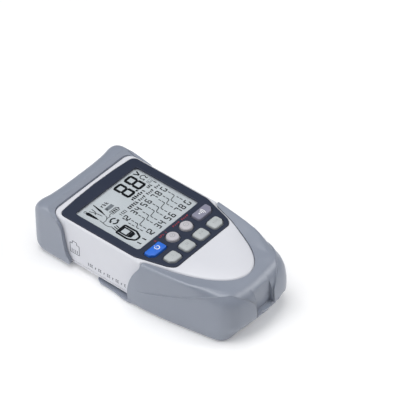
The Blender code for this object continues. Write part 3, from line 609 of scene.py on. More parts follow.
def crowned_top(height, spacing):
    """A top for loft: a fine triangulated sheet over the last ring, at the given heights.

    height takes an array of x, y and gives an array of z.
    """
    def fill(bm, ring):
        rim = [(v.co.x / MM, v.co.y / MM) for v in ring]
        x_min, x_max = min(p[0] for p in rim), max(p[0] for p in rim)
        y, y_max = min(p[1] for p in rim), max(p[1] for p in rim)
        grid = []
        row = 0
        while y < y_max:
            x = x_min + (spacing / 2 if row % 2 else 0.0)
            while x < x_max:
                grid.append((x, y))
                x += spacing
            y += spacing * 0.866
            row += 1
        grid = np.array(grid)
        grid = grid[inside(rim, grid)]
        walk = []
        for p, q in zip(rim, rim[1:] + rim[:1]):
            steps = max(1, math.ceil(math.dist(p, q) / (0.4 * spacing)))
            walk += [(p[0] + (q[0] - p[0]) * t / steps, p[1] + (q[1] - p[1]) * t / steps)
                     for t in range(steps)]
        grid = grid[distance_to(walk, grid) > spacing * 0.5]
        heights = height(grid)
        flat = [Vector(p) for p in rim] + [Vector(p) for p in grid.tolist()]
        count = len(rim)
        edges = [(i, (i + 1) % count) for i in range(count)]
        coords, _, faces, origins, _, _ = delaunay_2d_cdt(
            flat, edges, [list(range(count))], 1, 1e-6)
        made = []
        for coord, source in zip(coords, origins):
            if source and source[0] < count:
                made.append(ring[source[0]])
            elif source:
                z = heights[source[0] - count]
                made.append(bm.verts.new((coord[0] * MM, coord[1] * MM, z * MM)))
            else:
                made.append(None)
        for face in faces:
            corners = [made[i] for i in face]
            if None not in corners and len(set(corners)) == len(corners):
                bm.faces.new(corners)
    return fill


def paint(obj, mat):
    obj.data.materials.clear()
    obj.data.materials.append(mat)


def piece(obj, name, body, mat, slot_name, node, angle=32, weighted=True):
    """Names, shades, paints and attaches a finished piece that stands for a CAD node."""
    bm = bmesh.new()
    bm.from_mesh(obj.data)
    bmesh.ops.remove_doubles(bm, verts=bm.verts, dist=2e-7)
    bmesh.ops.dissolve_degenerate(bm, edges=bm.edges, dist=2e-7)
    bm.to_mesh(obj.data)
    bm.free()
    obj.name = obj.data.name = name
    paint(obj, mat)
    obj.data.shade_smooth()
    obj.data.set_sharp_from_angle(angle=math.radians(angle))
    if weighted:
        mod = obj.modifiers.new("weighted", "WEIGHTED_NORMAL")
        mod.keep_sharp = True
        mod.weight = 80
    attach(obj, body)
    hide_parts(node)


# ------------------------------------------------------------ shared outlines
def corner_arc(x, y, x_end, y_end, radius, seg):
    """The rounded corner at x, y between the middle of the +Y edge and the side's x_end, y_end."""
    line = rounded([(0.0, y), (x, y), (x_end, y_end)], [0, radius, 0], seg)
    return [p for p in line if p[0] > 1e-6][:-1]


body_corner = corner_arc(BODY_HALF_W, BODY_TOP_Y, *TONGUE_EDGE[0], BODY_CORNER_R, 16)
tongue_line = spline(TONGUE_EDGE, 0.9, before=(35.6, -8.6), after=(-3.5, -63.0))
side_line = resample([body_corner[-1], TONGUE_EDGE[0]], 3.0)
top_line = resample([(0.0, BODY_TOP_Y), body_corner[0]], 3.0)
body_outline = mirrored(top_line[:-1] + body_corner + side_line[1:-1] + tongue_line)
thick_outline = clip_y(body_outline, y_low=THICK_END_Y)

# right half of the front panel: x, y, corner radius
BEZEL_HALF = [(0.0, 55.0, 0), (17.0, 54.5, 0), (33.2, 53.2, 4.6), (32.9, -4.8, 3.8),
              (26.9, -25.2, 4.0), (24.0, -29.4, 5.0), (0.0, -29.4, 0)]
bezel_corners = mirrored(BEZEL_HALF)
bezel_outline = without_repeats(rounded([(x, y) for x, y, radius in bezel_corners],
                                        [radius for x, y, radius in bezel_corners], 14))


def display_rect(grow, radius=DISPLAY_R):
    return rect(DISPLAY_X, DISPLAY_Y, DISPLAY_HALF_W + grow, DISPLAY_HALF_H + grow, radius, 8)


def key_outline(name, grow=0.0, seg=8):
    x, y, half_w, half_h, shape = KEYS[name]
    if shape == "round":
        return circle(x, y, half_w + grow, 64)
    chamfer, chamfer_r = 2.6, 1.6
    radius = 1.6 if shape in ("left", "right") else 2.4
    x0, x1, y0, y1 = x - half_w, x + half_w, y - half_h, y + half_h
    if shape in ("left", "corner_left"):
        points = [(x0, y0 + chamfer), (x0 + chamfer, y0), (x1, y0), (x1, y1), (x0, y1)]
        radii = [chamfer_r, chamfer_r, radius, radius, radius]
    elif shape in ("right", "corner_right"):
        points = [(x0, y0), (x1 - chamfer, y0), (x1, y0 + chamfer), (x1, y1), (x0, y1)]
        radii = [radius, chamfer_r, chamfer_r, radius, radius]
    else:
        points = [(x0, y0), (x1, y0), (x1, y1), (x0, y1)]
        radii = radius
    return inset(without_repeats(rounded(points, radii, seg)), -grow)


# ------------------------------------------------------------ front shell
def front_drop(points):
    """How far the front face lies below its flat middle: it falls to the rim of the tongue."""
    edge = distance_to(body_outline, points)
    reach = 1.0 - smoothstep(-42.0, -23.0, points[:, 1])
    rim = np.clip(1.0 - edge / 13.0, 0.0, 1.0) ** 2
    return 1.7 * reach * rim


def sunk(ring):
    """The ring lowered with the front face, fully at the top and not at all below z 24."""
    drop = front_drop(np.array([(x, y) for x, y, z in ring]))
    return [(x, y, z - d * float(smoothstep(24.0, 33.0, z))) for (x, y, z), d in zip(ring, drop)]


front_rings = [level(inset(body_outline, 0.25), SPLIT_Z + 0.2),
               level(body_outline, SPLIT_Z + 0.45), level(body_outline, 24.0)]
front_rings += [sunk(ring) for ring in rolled_edge(body_outline, FRONT_Z, 1.7, 1.45, 8)]
front = loft(front_rings, crowned_top(lambda points: FRONT_Z - front_drop(points), 1.3))
# neck behind the sockets, then the space under the tongue and the two hollows
neck_in = 1.8
join(front, box(-NECK_HALF_W, NECK_HALF_W, 50, NECK_Y, SPLIT_Z + 0.35, NECK_Z1))
cut(front,
    box(-50, 50, -90, THICK_END_Y, -1, TONGUE_Z + 2.0),
    prism(inset(body_outline, WALL), 0, CEILING_Z - 0.1),
    box(-NECK_HALF_W + neck_in, NECK_HALF_W - neck_in, 50, NECK_Y - neck_in,
        0, NECK_Z1 - neck_in))
for x, y in HOUSING_SCREWS:
    add_boss(front, x, y, 2.5, SPLIT_Z + 0.4, CEILING_Z + 0.2, pilot_top=16.0)
add_boss(front, *TONGUE_SCREW, 2.8, TONGUE_Z + 2.0, CEILING_Z, pilot_top=30.6)
# panel recess, display opening, key holes and socket openings
cut(front, prism(inset(bezel_outline, -GAP), BEZEL_POCKET_Z, 50),
    prism(display_rect(0.05), 30, 50))
for key in KEYS:
    cut(front, prism(key_outline(key, GAP), 30, 50))
for side in (-1, 1):
    cut(front, port_window(side * PORT_X, 60, 80, PORT_Z))
piece(front, "front_shell", "tester", WHITE, "white_shell", "front_housing")

# ------------------------------------------------------------ rear shell
rear_rings = [level(inset(thick_outline, depth), z) for z, depth in spline(REAR_PROFILE, 0.42)]
rear = loft(rear_rings + [level(inset(thick_outline, 0.25), SPLIT_Z - 0.1)])
cut(rear, prism(inset(thick_outline, WALL), 5.1, 9))
end_half_w = 24.3
shelf_top = TONGUE_Z + TONGUE_WALL
# end wall, shelf under the tongue, bridge between them, neck floor and battery bay
join(rear,
     box(-end_half_w, end_half_w, THICK_END_Y, THICK_END_Y + 2.0, 4.0, shelf_top),
     prism(clip_y(body_outline, y_high=THICK_END_Y - 0.3), TONGUE_Z, shelf_top),
     box(-end_half_w, end_half_w, THICK_END_Y - 1.5, THICK_END_Y + 1.0, TONGUE_Z, shelf_top),
     box(-NECK_HALF_W, NECK_HALF_W, 50, NECK_Y, NECK_Z0, SPLIT_Z - 0.1),
     box(-26.0, 26.0, 24.0, 53.8, 4.2, 23.4))
# inside of the bay, rebate for the door and slot for its latch
cut(rear,
    box(-24.7, 24.7, 25.4, 52.5, 0, 30),
    prism(rect(0.0, DOOR_Y, DOOR_HALF_W + GAP, DOOR_HALF_H + GAP, 1.4, 8), 0, 4.4),
    box(-5.3, 5.3, 52.0, 54.4, 4.4, 6.6))
for x, y in HOUSING_SCREWS:
    counterbore(rear, x, y, -1, 9, seat_radius=3.0, seat_top=4.0)
counterbore(rear, *TONGUE_SCREW, 20, 30, seat_radius=2.9, seat_top=24.0)
for x, y in CAP_SCREWS:
    add_boss(rear, x, y, 2.6, SPLIT_Z - 0.6, 15.0, pilot_top=14.0)
piece(rear, "rear_shell", "tester", WHITE, "white_shell", "rear_housing")

# ------------------------------------------------------------ end cap
# right half of the cap's +Y end and the start of its side: x, y
CAP_END = [(0.0, 69.9), (14.0, 70.0), (24.0, 70.7), (31.5, 71.9), (35.2, 71.0), (37.1, 67.8),
           (CAP_HALF_W, 62.0), (CAP_HALF_W, 50.0)]
# the cap's -Y edge on its front and left, and on its right, between shared ends: z, y
CAP_EDGE_TOP = [(CAP_TOP_Z + 4, 68.0), (CAP_TOP_Z, 61.2)]
CAP_EDGE_BOTTOM = [(6.5, 43.0), (3.5, 43.4), (1.5, 45.0), (-2.0, 48.5)]
CAP_EDGE_LEFT = [(35.7, 58.2), (33.5, 53.4), (31.5, 51.2), (29.0, 49.4), (26.5, 48.6),
                 (17.5, 47.0), (10.5, 45.4)]
CAP_EDGE_RIGHT = [(36.2, 57.5), (34.8, 53.0), (33.4, 47.5), (32.2, 43.0), (30.5, 41.2),
                  (26.0, 41.0), (17.5, 42.4), (10.5, 43.2)]
cap_half = spline(CAP_END, 1.0, before=(-14.0, 70.0))
cap_half += resample([(CAP_HALF_W, 48.0), (CAP_HALF_W, 14.0)], 2.0)
cap_outline = mirrored(cap_half + [(CAP_HALF_W * k / 12, 14.0) for k in range(11, -1, -1)])


def cap_ring(z, depth):
    """One level of the cap's skin, scaled inwards; above z 20 the end moves twice as far."""
    depth = max(0.0, depth)
    scale_x = 1.0 - depth / CAP_HALF_W
    scale_y = 1.0 - depth * (2.0 if z > 20.0 else 1.0) / 31.0
    return [(x * scale_x, 40.0 + (y - 40.0) * scale_y, z) for x, y in cap_outline]


def cap_edge_cutter(middle, x0, x1):
    """Cutter for all that lies on the -Y side of the cap's edge."""
    edge = spline(CAP_EDGE_TOP + middle + CAP_EDGE_BOTTOM, 0.8)
    return side_prism([(y, z) for z, y in edge] + [(0, -2), (0, CAP_TOP_Z + 4)], x0, x1)


cap = loft([cap_ring(z, depth) for z, depth in spline(CAP_PROFILE, 0.6)])
# both edges, the seats of body and neck, and the notch round the battery door
cut(cap,
    cap_edge_cutter(CAP_EDGE_LEFT, -60, 34.9),
    cap_edge_cutter(CAP_EDGE_RIGHT, 34.7, 60),
    prism(inset(clip_y(body_outline, y_low=0), -GAP), REAR_Z - GAP, 60),
    box(-NECK_HALF_W - GAP, NECK_HALF_W + GAP, 50, NECK_Y + GAP, NECK_Z0 - GAP, NECK_Z1 + GAP),
    prism(rect(0.0, 43.1, 27.6, 13.1, 1.5, 8), -5, 5))
for side, (x, y) in zip((-1, 1), CAP_SCREWS):
    cut(cap, port_window(side * PORT_X, 60, 90, PORT_Z))
    counterbore(cap, x, y, -1, 9, seat_radius=3.0, seat_top=2.3)
piece(cap, "end_cap", "tester", GREY, "grey_shell", "top_end_cap")

# ------------------------------------------------------------ front panel and window
bezel = loft([level(bezel_outline, BEZEL_POCKET_Z + GAP)]
             + rolled_edge(bezel_outline, BEZEL_TOP, 0.45, 0.45, 5))
cut(bezel, pocket(display_rect(0.0), 30, BEZEL_TOP, 50, lip=0.2))
for key in KEYS:
    cut(bezel, pocket(key_outline(key, GAP), 30, BEZEL_TOP, 50, lip=0.25))
piece(bezel, "front_panel", "tester", NAVY, "navy_panel", "display_bezel")

window_line = display_rect(-GAP, DISPLAY_R - GAP)
window = loft([level(inset(window_line, 0.1), 34.5), level(window_line, 34.6)]
              + rolled_edge(window_line, 35.4, 0.25, 0.25, 3))
piece(window, "clear_window", "tester", CLEAR, "display_window", "display_window",
      weighted=False)
paint(NODES["lcd_panel"], LCD)


# ------------------------------------------------------------ printed and display marks
class Marks:
    """Thin marks drawn in a plane, gathered in one mesh of closed slabs from z low to high.

    put maps a drawing point and its height to a point in mm.
    """

    def __init__(self, put, low, high):
        self.bm = bmesh.new()
        self.put = put
        self.low = low
        self.high = high

    def row(self, points, height):
        made = []
        for point in points:
            x, y, z = self.put(*point, height)
            made.append(self.bm.verts.new((x * MM, y * MM, z * MM)))
        return made

    def slab(self, outline):
        low = self.row(outline, self.low)
        top = self.row(outline, self.high)
        count = len(outline)
        for i in range(count):
            j = (i + 1) % count
            self.bm.faces.new((low[i], low[j], top[j], top[i]))
        self.bm.faces.new(list(reversed(low)))
        self.bm.faces.new(top)

    def bar(self, x0, x1, y0, y1):
        self.slab([(x0, y0), (x1, y0), (x1, y1), (x0, y1)])

    def ribbon(self, points, width, closed=False, lift=0.0):
        """A line of even width along the points."""
        points = [Vector(p) for p in points]
        count = len(points)
        left, right = [], []
        for i, point in enumerate(points):
            back = ahead = None
            if i > 0 or closed:
                back = (point - points[i - 1]).normalized()
            if i < count - 1 or closed:
                ahead = (points[(i + 1) % count] - point).normalized()
            back = back or ahead
            ahead = ahead or back
            normal = Vector((-back.y, back.x))
            mitre = normal + Vector((-ahead.y, ahead.x))
            mitre = mitre.normalized() if mitre.length > 1e-6 else normal
            mitre = mitre / max(0.5, mitre.dot(normal)) * width / 2
            left.append((point.x + mitre.x, point.y + mitre.y))
            right.append((point.x - mitre.x, point.y - mitre.y))
        low, high = self.low + lift, self.high + lift
        rows = [self.row(left, low), self.row(left, high),
                self.row(right, high), self.row(right, low)]
        for i in range(count if closed else count - 1):
            j = (i + 1) % count
            for here, beside in zip(rows, rows[1:] + rows[:1]):
                self.bm.faces.new((here[i], here[j], beside[j], beside[i]))
        if not closed:
            self.bm.faces.new([r[0] for r in rows])
            self.bm.faces.new([r[-1] for r in reversed(rows)])

    def digit(self, x, y, width, height, thick, lit, gap):
        """Seven-segment figure centred on x, y; lit names segments a to g."""
        x0, x1, y0, y1 = x - width / 2, x + width / 2, y - height / 2, y + height / 2
        for name, base in (("a", y1 - thick), ("g", y - thick / 2), ("d", y0)):
            if name in lit:
                tip0, tip1 = x0 + gap + thick * 0.25, x1 - gap - thick * 0.25
                end0, end1 = x0 + gap + thick * 0.75, x1 - gap - thick * 0.75
                self.slab([(tip0, base + thick * 0.5), (end0, base), (end1, base),
                           (tip1, base + thick * 0.5), (end1, base + thick),
                           (end0, base + thick)])
        for name, side, low, high in (("f", x0, y, y1), ("e", x0, y0, y),
                                      ("b", x1 - thick, y, y1), ("c", x1 - thick, y0, y)):
            if name in lit:
                end0, end1 = low + thick * 0.45 + gap, high - thick * 0.45 - gap
                tip0, tip1 = low + thick * 0.12 + gap, high - thick * 0.12 - gap
                self.slab([(side, end0), (side + thick * 0.5, tip0), (side + thick, end0),
                           (side + thick, end1), (side + thick * 0.5, tip1), (side, end1)])

    def ticks(self, x0, x1, y0, y1, count, seed, width=0.42):
        """A run of plain upright and level strokes in place of a caption."""
        pitch = (x1 - x0) / count
        for k in range(count):
            kind = (k * 7 + seed * 3 + k * k) % 5
            x = x0 + pitch * (k + 0.12)
            reach = pitch * 0.72
            if kind == 4 and 0 < k < count - 1:
                continue
            top = y1 if kind != 3 else y0 + (y1 - y0) * 0.72
            self.bar(x, x + width, y0, top)
            if kind in (0, 2, 3):
                self.bar(x + width, x + reach, top - width, top)
            if kind in (0, 1):
                middle = (y0 + top) / 2
                self.bar(x + width, x + reach * 0.85, middle - width / 2, middle + width / 2)
            if kind in (1, 2):
                self.bar(x + width, x + reach, y0, y0 + width)

    def done(self, name, body, mat, slot_name):
        obj = obj_from_bm(self.bm, name)
        obj.data.materials.append(mat)
        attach(obj, body)


# ------------------------------------------------------------ display artwork
LCD_SHIFT = (1.1, 0.95)                  # moves the whole artwork in x and y
SEGMENTS = {"1": "bc", "2": "abged", "3": "abgcd", "4": "fgbc", "5": "afgcd", "6": "afgedc",
            "7": "abc", "8": "abcdefg", "G": "afedc"}


def lcd_marks():
    return Marks(lambda x, y, z: (x + LCD_SHIFT[0], y + LCD_SHIFT[1], z),
                 LCD_TOP_Z + 0.02, LCD_TOP_Z + 0.07)


lcd = lcd_marks()
dim = lcd_marks()

# two large figures, the point between them, and the signs to their right
for x in (6.6, 16.0):
    lcd.digit(x, 37.35, width=7.2, height=13.0, thick=1.75, lit="abcdefg", gap=0.14)
lcd.bar(10.7, 12.0, 31.0, 32.4)
lcd.slab([(20.7, 43.3), (22.3, 39.7), (23.2, 39.7), (24.9, 43.3), (23.9, 43.3),
          (22.78, 40.9), (21.7, 43.3)])
omega = arc(22.8, 36.9, 1.75, [-55 + 290 * k / 16 for k in range(17)], radius_y=1.6)
lcd.ribbon([(24.8, 34.75), (23.9, 34.75)] + omega + [(21.7, 34.75), (20.8, 34.75)], 0.55)
dim.ribbon(rounded([(20.9, 30.4), (24.6, 30.4), (24.6, 32.7), (20.9, 32.7)], 0.3, 2), 0.3,
           closed=True)
dim.bar(21.6, 22.2, 30.9, 32.2)
dim.bar(22.7, 23.9, 30.9, 31.4)

# caption lines, as plain strokes: x0, x1, y0, y1, count, seed, width
for run in ((3.1, 12.6, 27.5, 29.9, 6, 1, 0.80), (13.3, 25.0, 27.6, 29.7, 9, 2, 0.50),
            (-11.1, -5.2, 23.9, 26.1, 4, 3), (-3.9, 4.4, 23.8, 26.2, 5, 4, 0.66),
            (5.4, 24.4, 23.9, 26.0, 13, 5, 0.50)):
    lcd.ticks(*run)

# wire map: two rows of pin numbers, dashes between them and slanting links
PIN_X = (-13.2, -10.3, -4.2, -0.5, 4.6, 8.6, 13.8, 17.8, 22.6)
PIN_DASHES = ((14.9, 16.8), (12.3, 14.2), (8.6, 10.2), (5.7, 7.8))
for sign, x in zip("12345678G", PIN_X):
    for y, height in ((20.3, 4.7), (1.8, 5.0)):
        lcd.digit(x, y, width=2.7, height=height, thick=0.70, lit=SEGMENTS[sign], gap=0.06)
    for y0, y1 in PIN_DASHES:
        lcd.bar(x - 0.27, x + 0.27, y0, y1)
for x, x_next in zip(PIN_X, PIN_X[1:]):
    lcd.ribbon([(x_next, 12.3), (x_next - 0.55, 11.7), (x + 0.55, 10.9), (x, 10.2)], 0.46)

# two test probes and a clip with their leads
lcd.slab([(-23.9, 40.3), (-23.2, 34.0), (-22.5, 31.4), (-21.8, 34.0), (-21.4, 40.3),
          (-22.0, 41.4), (-23.3, 41.4)])
lcd.ribbon(circle(-22.65, 42.4, 0.72, 14), 0.34, closed=True)
lcd.slab([(-15.0, 43.2), (-14.55, 42.9), (-15.3, 36.0), (-16.9, 31.6), (-17.2, 31.8),
          (-16.6, 36.6)])
lcd.ribbon([(-20.6, 41.0), (-19.6, 38.2), (-19.0, 35.4), (-18.7, 32.4)], 0.42)
lcd.ribbon([(-18.2, 41.2), (-18.45, 38.8), (-18.8, 37.2)], 0.42)
lcd.ribbon([(-20.3, 36.4), (-19.5, 37.2)], 0.5)
lcd.ribbon(spline([(-22.5, 31.0), (-22.9, 28.0), (-23.3, 25.4), (-22.9, 23.2), (-21.9, 21.6)],
                  0.5), 0.42)
lcd.ribbon(spline([(-17.1, 31.2), (-17.9, 29.4), (-20.0, 28.2), (-22.6, 28.1)], 0.5), 0.38)
lcd.ribbon([(-19.0, 29.0), (-16.0, 28.6), (-15.2, 29.8), (-13.9, 29.8)], 0.38)

# short caption, level bar and battery
lcd.ticks(-13.4, -7.4, 37.0, 39.6, 3, seed=6, width=0.5)
dim.bar(-13.4, -7.2, 33.0, 35.6)
lcd.ribbon(circle(-12.4, 34.3, 0.5, 10), 0.3, closed=True, lift=0.04)
lcd.ribbon(rounded([(-13.3, 28.6), (-7.5, 28.6), (-7.5, 31.6), (-13.3, 31.6)], 0.4, 3), 0.36,
           closed=True)
for x in (-12.4, -10.9, -9.4):
    lcd.bar(x, x + 0.9, 29.2, 31.0)
lcd.bar(-7.25, -6.7, 29.5, 30.7)

# turning arrow in two halves
for start in (20, 200):
    bow = arc(-17.4, 24.2, 2.25, [start + 118 * k / 10 for k in range(11)])
    lcd.ribbon(bow, 0.95)
    tip = Vector(bow[-1])
    along = (tip - Vector(bow[-2])).normalized()
    across = Vector((-along.y, along.x))
    lcd.slab([tuple(tip + along * 0.1 + across * 1.15), tuple(tip + along * 0.1 - across * 1.15),
              tuple(tip + along * 1.5)])

# three slanted strokes
for k in range(3):
    x = -23.2 + 1.45 * k
    lcd.slab([(x, 18.0), (x + 0.62, 17.9), (x + 1.15, 21.2 - 0.3 * k), (x + 0.55, 21.5 - 0.3 * k)])

# far-end unit: rounded outline, window and mouth
lcd.ribbon(rounded([(-23.9, 17.0), (-24.1, 8.2), (-21.8, 3.6), (-18.0, 3.6), (-15.7, 8.2),
                    (-15.9, 17.0)], [0.8, 2.2, 2.0, 2.0, 2.2, 0.8], 5), 1.3, closed=True)
lcd.bar(-22.9, -16.9, 15.3, 16.5)
lcd.bar(-22.9, -21.9, 9.9, 15.2)
lcd.bar(-17.9, -16.9, 9.9, 15.2)
lcd.slab([(-22.9, 9.8), (-22.0, 7.2), (-17.8, 7.2), (-16.9, 9.8)])
lcd.bar(-21.9, -17.9, 9.9, 11.0)
lcd.ticks(-22.9, -16.9, -0.8, 2.0, 4, seed=7, width=0.66)
lcd.done("display_segments", "tester", INK, "lcd_panel")
dim.done("display_faint_marks", "tester", INK_DIM, "lcd_panel")

# ------------------------------------------------------------ keys
KEY_FINISH = {"power_button": (KEY_BLUE, "key_blue"), "scan_button": (KEY_VIOLET, "key_grey"),
              "mode_button_left": (KEY_ROUND, "key_grey"),
              "mode_button_right": (KEY_ROUND, "key_grey")}
# fillet radius, crown height and draft by shape
KEY_FORM = {"left": (0.70, 0.30, 0.30), "right": (0.70, 0.22, 0.30), "round": (1.05, 0.34, 0.35)}
KEY_FORM_OTHER = (1.0, 0.42, 0.30)
FLANGE_Z0, FLANGE_Z1, FLANGE_EDGE = 31.0, 32.1, 0.15


def key_form(key):
    return KEY_FORM.get(KEYS[key][4], KEY_FORM_OTHER)


def key_height(key, at_x, at_y):
    """Height of a key's pillowed top at a point."""
    x, y, half_w, half_h, shape = KEYS[key]
    fillet, crown, draft = key_form(key)
    power = 2.0 if shape == "round" else 3.2
    reach = ((np.abs(at_x - x) / (half_w - fillet - draft)) ** power
             + (np.abs(at_y - y) / (half_h - fillet - draft)) ** power) ** (1.0 / power)
    return KEY_TOP_Z - crown * np.minimum(reach, 1.3) ** 2


def make_key(key):
    """Flange, drafted wall, fillet, pillowed top and a stem below."""
    outline = key_outline(key, 0.0, 10)
    fillet, _, draft = key_form(key)
    brow = [float(key_height(key, x, y)) for x, y in inset(outline, draft + fillet * 0.92)]
    flange = inset(outline, -KEY_FLANGE)
    flange_edge = inset(outline, -KEY_FLANGE + FLANGE_EDGE)
    rings = [level(flange_edge, FLANGE_Z0), level(flange, 31.15), level(flange, 31.95),
             level(flange_edge, FLANGE_Z1), level(outline, FLANGE_Z1)]
    for k in range(1, 6):
        wall = inset(outline, draft * (k / 5) ** 2)
        rings.append([(x, y, FLANGE_Z1 + (top - fillet - FLANGE_Z1) * k / 5)
                      for (x, y), top in zip(wall, brow)])
    for k in range(1, 9):
        angle = math.pi / 2 * k / 8
        edge = inset(outline, draft + fillet * 0.92 * (1 - math.cos(angle)))
        rings.append([(x, y, top - fillet * (1 - math.sin(angle)))
                      for (x, y), top in zip(edge, brow)])
    form = loft(rings, crowned_top(lambda p: key_height(key, p[:, 0], p[:, 1]), 0.55))
    join(form, cylinder(*KEYS[key][:2], 1.6, 30.3, 31.6, 24))
    piece(form, key + "_cap", key, *KEY_FINISH.get(key, (KEY_GREY, "key_grey")), key,
          angle=50, weighted=False)


def key_marks(key):
    """Marks that follow a key's top."""
    return Marks(lambda x, y, z: (x, y, float(key_height(key, x, y)) + z), -0.35, 0.025)


for key in KEYS:
    make_key(key)

mark = key_marks("power_button")
x, y = -19.7, -11.0
mark.ribbon(arc(x, y, 1.5, range(122, 419, 11)), 0.5)
mark.bar(x - 0.25, x + 0.25, y + 0.3, y + 2.0)
mark.done("power_mark", "power_button", PRINT_WHITE, "key_blue")

mark = key_marks("scan_button")
x, y = 18.3, -11.0
mark.slab(circle(x, y, 0.55, 16))
for radius in (1.5, 2.6, 3.7):
    mark.ribbon(arc(x, y, radius, range(-36, 37, 8)), 0.5)
mark.done("scan_mark", "scan_button", PRINT_WHITE, "key_grey")

for key in ("mode_button_left", "mode_button_right"):
    x, y = KEYS[key][:2]
    mark = key_marks(key)
    mark.ribbon(circle(x, y + 0.2, 1.5, 28), 0.28, closed=True)
    if key.endswith("right"):
        mark.bar(x - 0.5, x + 0.5, y + 0.05, y + 0.35)
    else:
        mark.slab(circle(x, y + 0.2, 0.4, 14))
    mark.done(key + "_mark", key, PRINT_SOFT, "key_grey")

# as many strokes as the key's number, over a line
for number in range(1, 5):
    key = "function_key_%d" % number
    x, y = KEYS[key][:2]
    mark = key_marks(key)
    for k in range(number):
        stroke_x = x - 0.55 * (number - 1) + 1.1 * k
        mark.bar(stroke_x - 0.2, stroke_x + 0.2, y - 0.7, y + 0.9)
    mark.bar(x - 1.9, x + 1.9, y - 1.5, y - 1.22)
    mark.done(key + "_mark", key, PRINT_SOFT, "key_grey")

# red strokes on the panel, on the +Y side of the round keys
red = Marks(lambda x, y, z: (x, y, z), BEZEL_TOP - 0.1, BEZEL_TOP + 0.02)
red.ticks(-15.9, -4.4, -6.2, -4.95, 8, seed=2, width=0.32)
red.ticks(0.6, 14.6, -6.2, -4.95, 9, seed=5, width=0.32)
red.done("panel_red_marks", "tester", PRINT_RED, "navy_panel")

# left side: a plain port sign and a row of strokes; drawing x runs along -Y, drawing y up
side_marks = Marks(lambda x, y, z: (-BODY_HALF_W - z, -x, y), -0.2, 0.02)
x, y = -40.5, 17.0
side_marks.ribbon(rounded([(x - 3.6, y - 4.6), (x + 3.6, y - 4.6), (x + 3.6, y + 2.6),
                           (x + 1.7, y + 2.6), (x + 1.7, y + 4.6), (x - 1.7, y + 4.6),
                           (x - 1.7, y + 2.6), (x - 3.6, y + 2.6)], 0.3, 3), 0.5, closed=True)
for k in range(4):
    stroke_x = x - 2.1 + 1.4 * k
    side_marks.bar(stroke_x - 0.24, stroke_x + 0.24, y - 3.9, y - 1.4)
side_marks.ticks(-30.3, -0.5, 8.8, 11.1, 22, seed=3, width=0.50)
side_marks.done("side_marks", "tester", PRINT_GREY, "white_shell")

# ------------------------------------------------------------ battery door
door_line = rect(0.0, DOOR_Y, DOOR_HALF_W, DOOR_HALF_H, 1.2, 8)
door = loft([level(inset(door_line, 0.35), REAR_Z), level(inset(door_line, 0.12), REAR_Z + 0.1),
             level(door_line, REAR_Z + 0.35), level(door_line, 4.1)])
join(door, box(-23.0, 23.0, 26.2, 27.2, 4.0, 4.9))
# four grooves and an arrow in the outer face
for k in range(4):
    y = 28.3 + 1.7 * k
    cut(door, prism(rect(0.0, y + 0.45, 7.0, 0.45, 0.44, 6), 2.0, 3.35))
cut(door, prism([(-2.6, 37.2), (0.0, 40.6), (2.6, 37.2)], 2.0, 3.25))
piece(door, "battery_door_cover", "battery_door", WHITE, "white_shell", "battery_door")


# ------------------------------------------------------------ fasteners
def screw(name, node, body, place, head_z, head_h, length):
    """Pan head screw with its head down and a cross recess."""
    x, y = place
    head_r, thread_r = 2.4, 1.15
    neck_z = head_z + head_h
    rings = []

    def ring(radius, z):
        rings.append(level(circle(x, y, radius, 36), z))

    for k in range(6):
        angle = math.pi / 2 * k / 5
        ring(head_r * (0.80 + 0.20 * (1 - math.cos(angle))),
             head_z + 0.35 * head_h * math.sin(angle))
    ring(head_r, neck_z)
    ring(thread_r, neck_z)
    z = neck_z
    while z < neck_z + length - 1.2:
        ring(thread_r, z + 0.35)
        ring(thread_r * 0.8, z + 0.60)
        z += 0.8
    ring(thread_r * 0.3, neck_z + length)
    form = loft(rings)
    for half_w, half_h in ((1.3, 0.28), (0.28, 1.3)):
        cut(form, prism(rect(x, y, half_w, half_h, 0.1, 3), head_z - 1, head_z + 0.6 * head_h))
    piece(form, name, body, STEEL, "steel_screw", node, angle=40, weighted=False)


for number, place in enumerate(HOUSING_SCREWS, 1):
    screw("housing_fixing_%d" % number, "housing_screw_%d" % number, "tester", place,
          head_z=3.05, head_h=0.6, length=11.0)
screw("housing_fixing_5", "housing_screw_5", "tester", TONGUE_SCREW,
      head_z=TONGUE_Z + 0.1, head_h=0.6, length=6.4)
for side, place in zip(("left", "right"), CAP_SCREWS):
    screw("cap_fixing_" + side, "cap_screw_" + side, "tester", place,
          head_z=0.5, head_h=1.4, length=11.0)

# ------------------------------------------------------------ remote terminal: outline and skin
SPREAD = 70                              # smoothing passes for the outline's normals
# height of the crease that parts the raised cheeks from the smooth top: x, y, z
CREASE = [
    (37.9, -2.0, 12.4), (37.5, -12.6, 15.5), (35.2, -33.0, 22.4), (33.0, -46.5, 27.2),
    (31.3, -55.0, 30.4), (29.6, -62.5, 32.75), (27.6, -68.4, 33.25), (24.6, -72.0, 33.1),
    (20.2, -74.5, 32.1), (15.6, -75.5, 29.9), (11.9, -76.0, 27.0), (7.9, -76.4, 22.6),
    (6.95, -76.5, 14.2), (0.0, -76.7, 14.2)]
plate_corner = corner_arc(36.15, PLATE_END_Y, *REMOTE_EDGE[0], 5.2, 12)
plate_front = resample([(0.0, PLATE_END_Y), plate_corner[0]], 1.6)[:-1]
arm_line = spline([plate_corner[-1]] + REMOTE_EDGE, 0.9, before=plate_corner[-2],
                  after=(-8.0, -76.4))
remote_outline = mirrored(plate_front + plate_corner + arm_line[1:])

profile = np.array(spline(REMOTE_PROFILE, 0.25))
profile_run = run_lengths(profile)
# distance along the right half of the outline, from the middle of the -Y end
right_xy = np.array(list(reversed(arm_line)))
right_run = run_lengths(right_xy)


def run_at(x, y):
    return right_run[np.argmin(np.hypot(right_xy[:, 0] - abs(x), right_xy[:, 1] - y))]


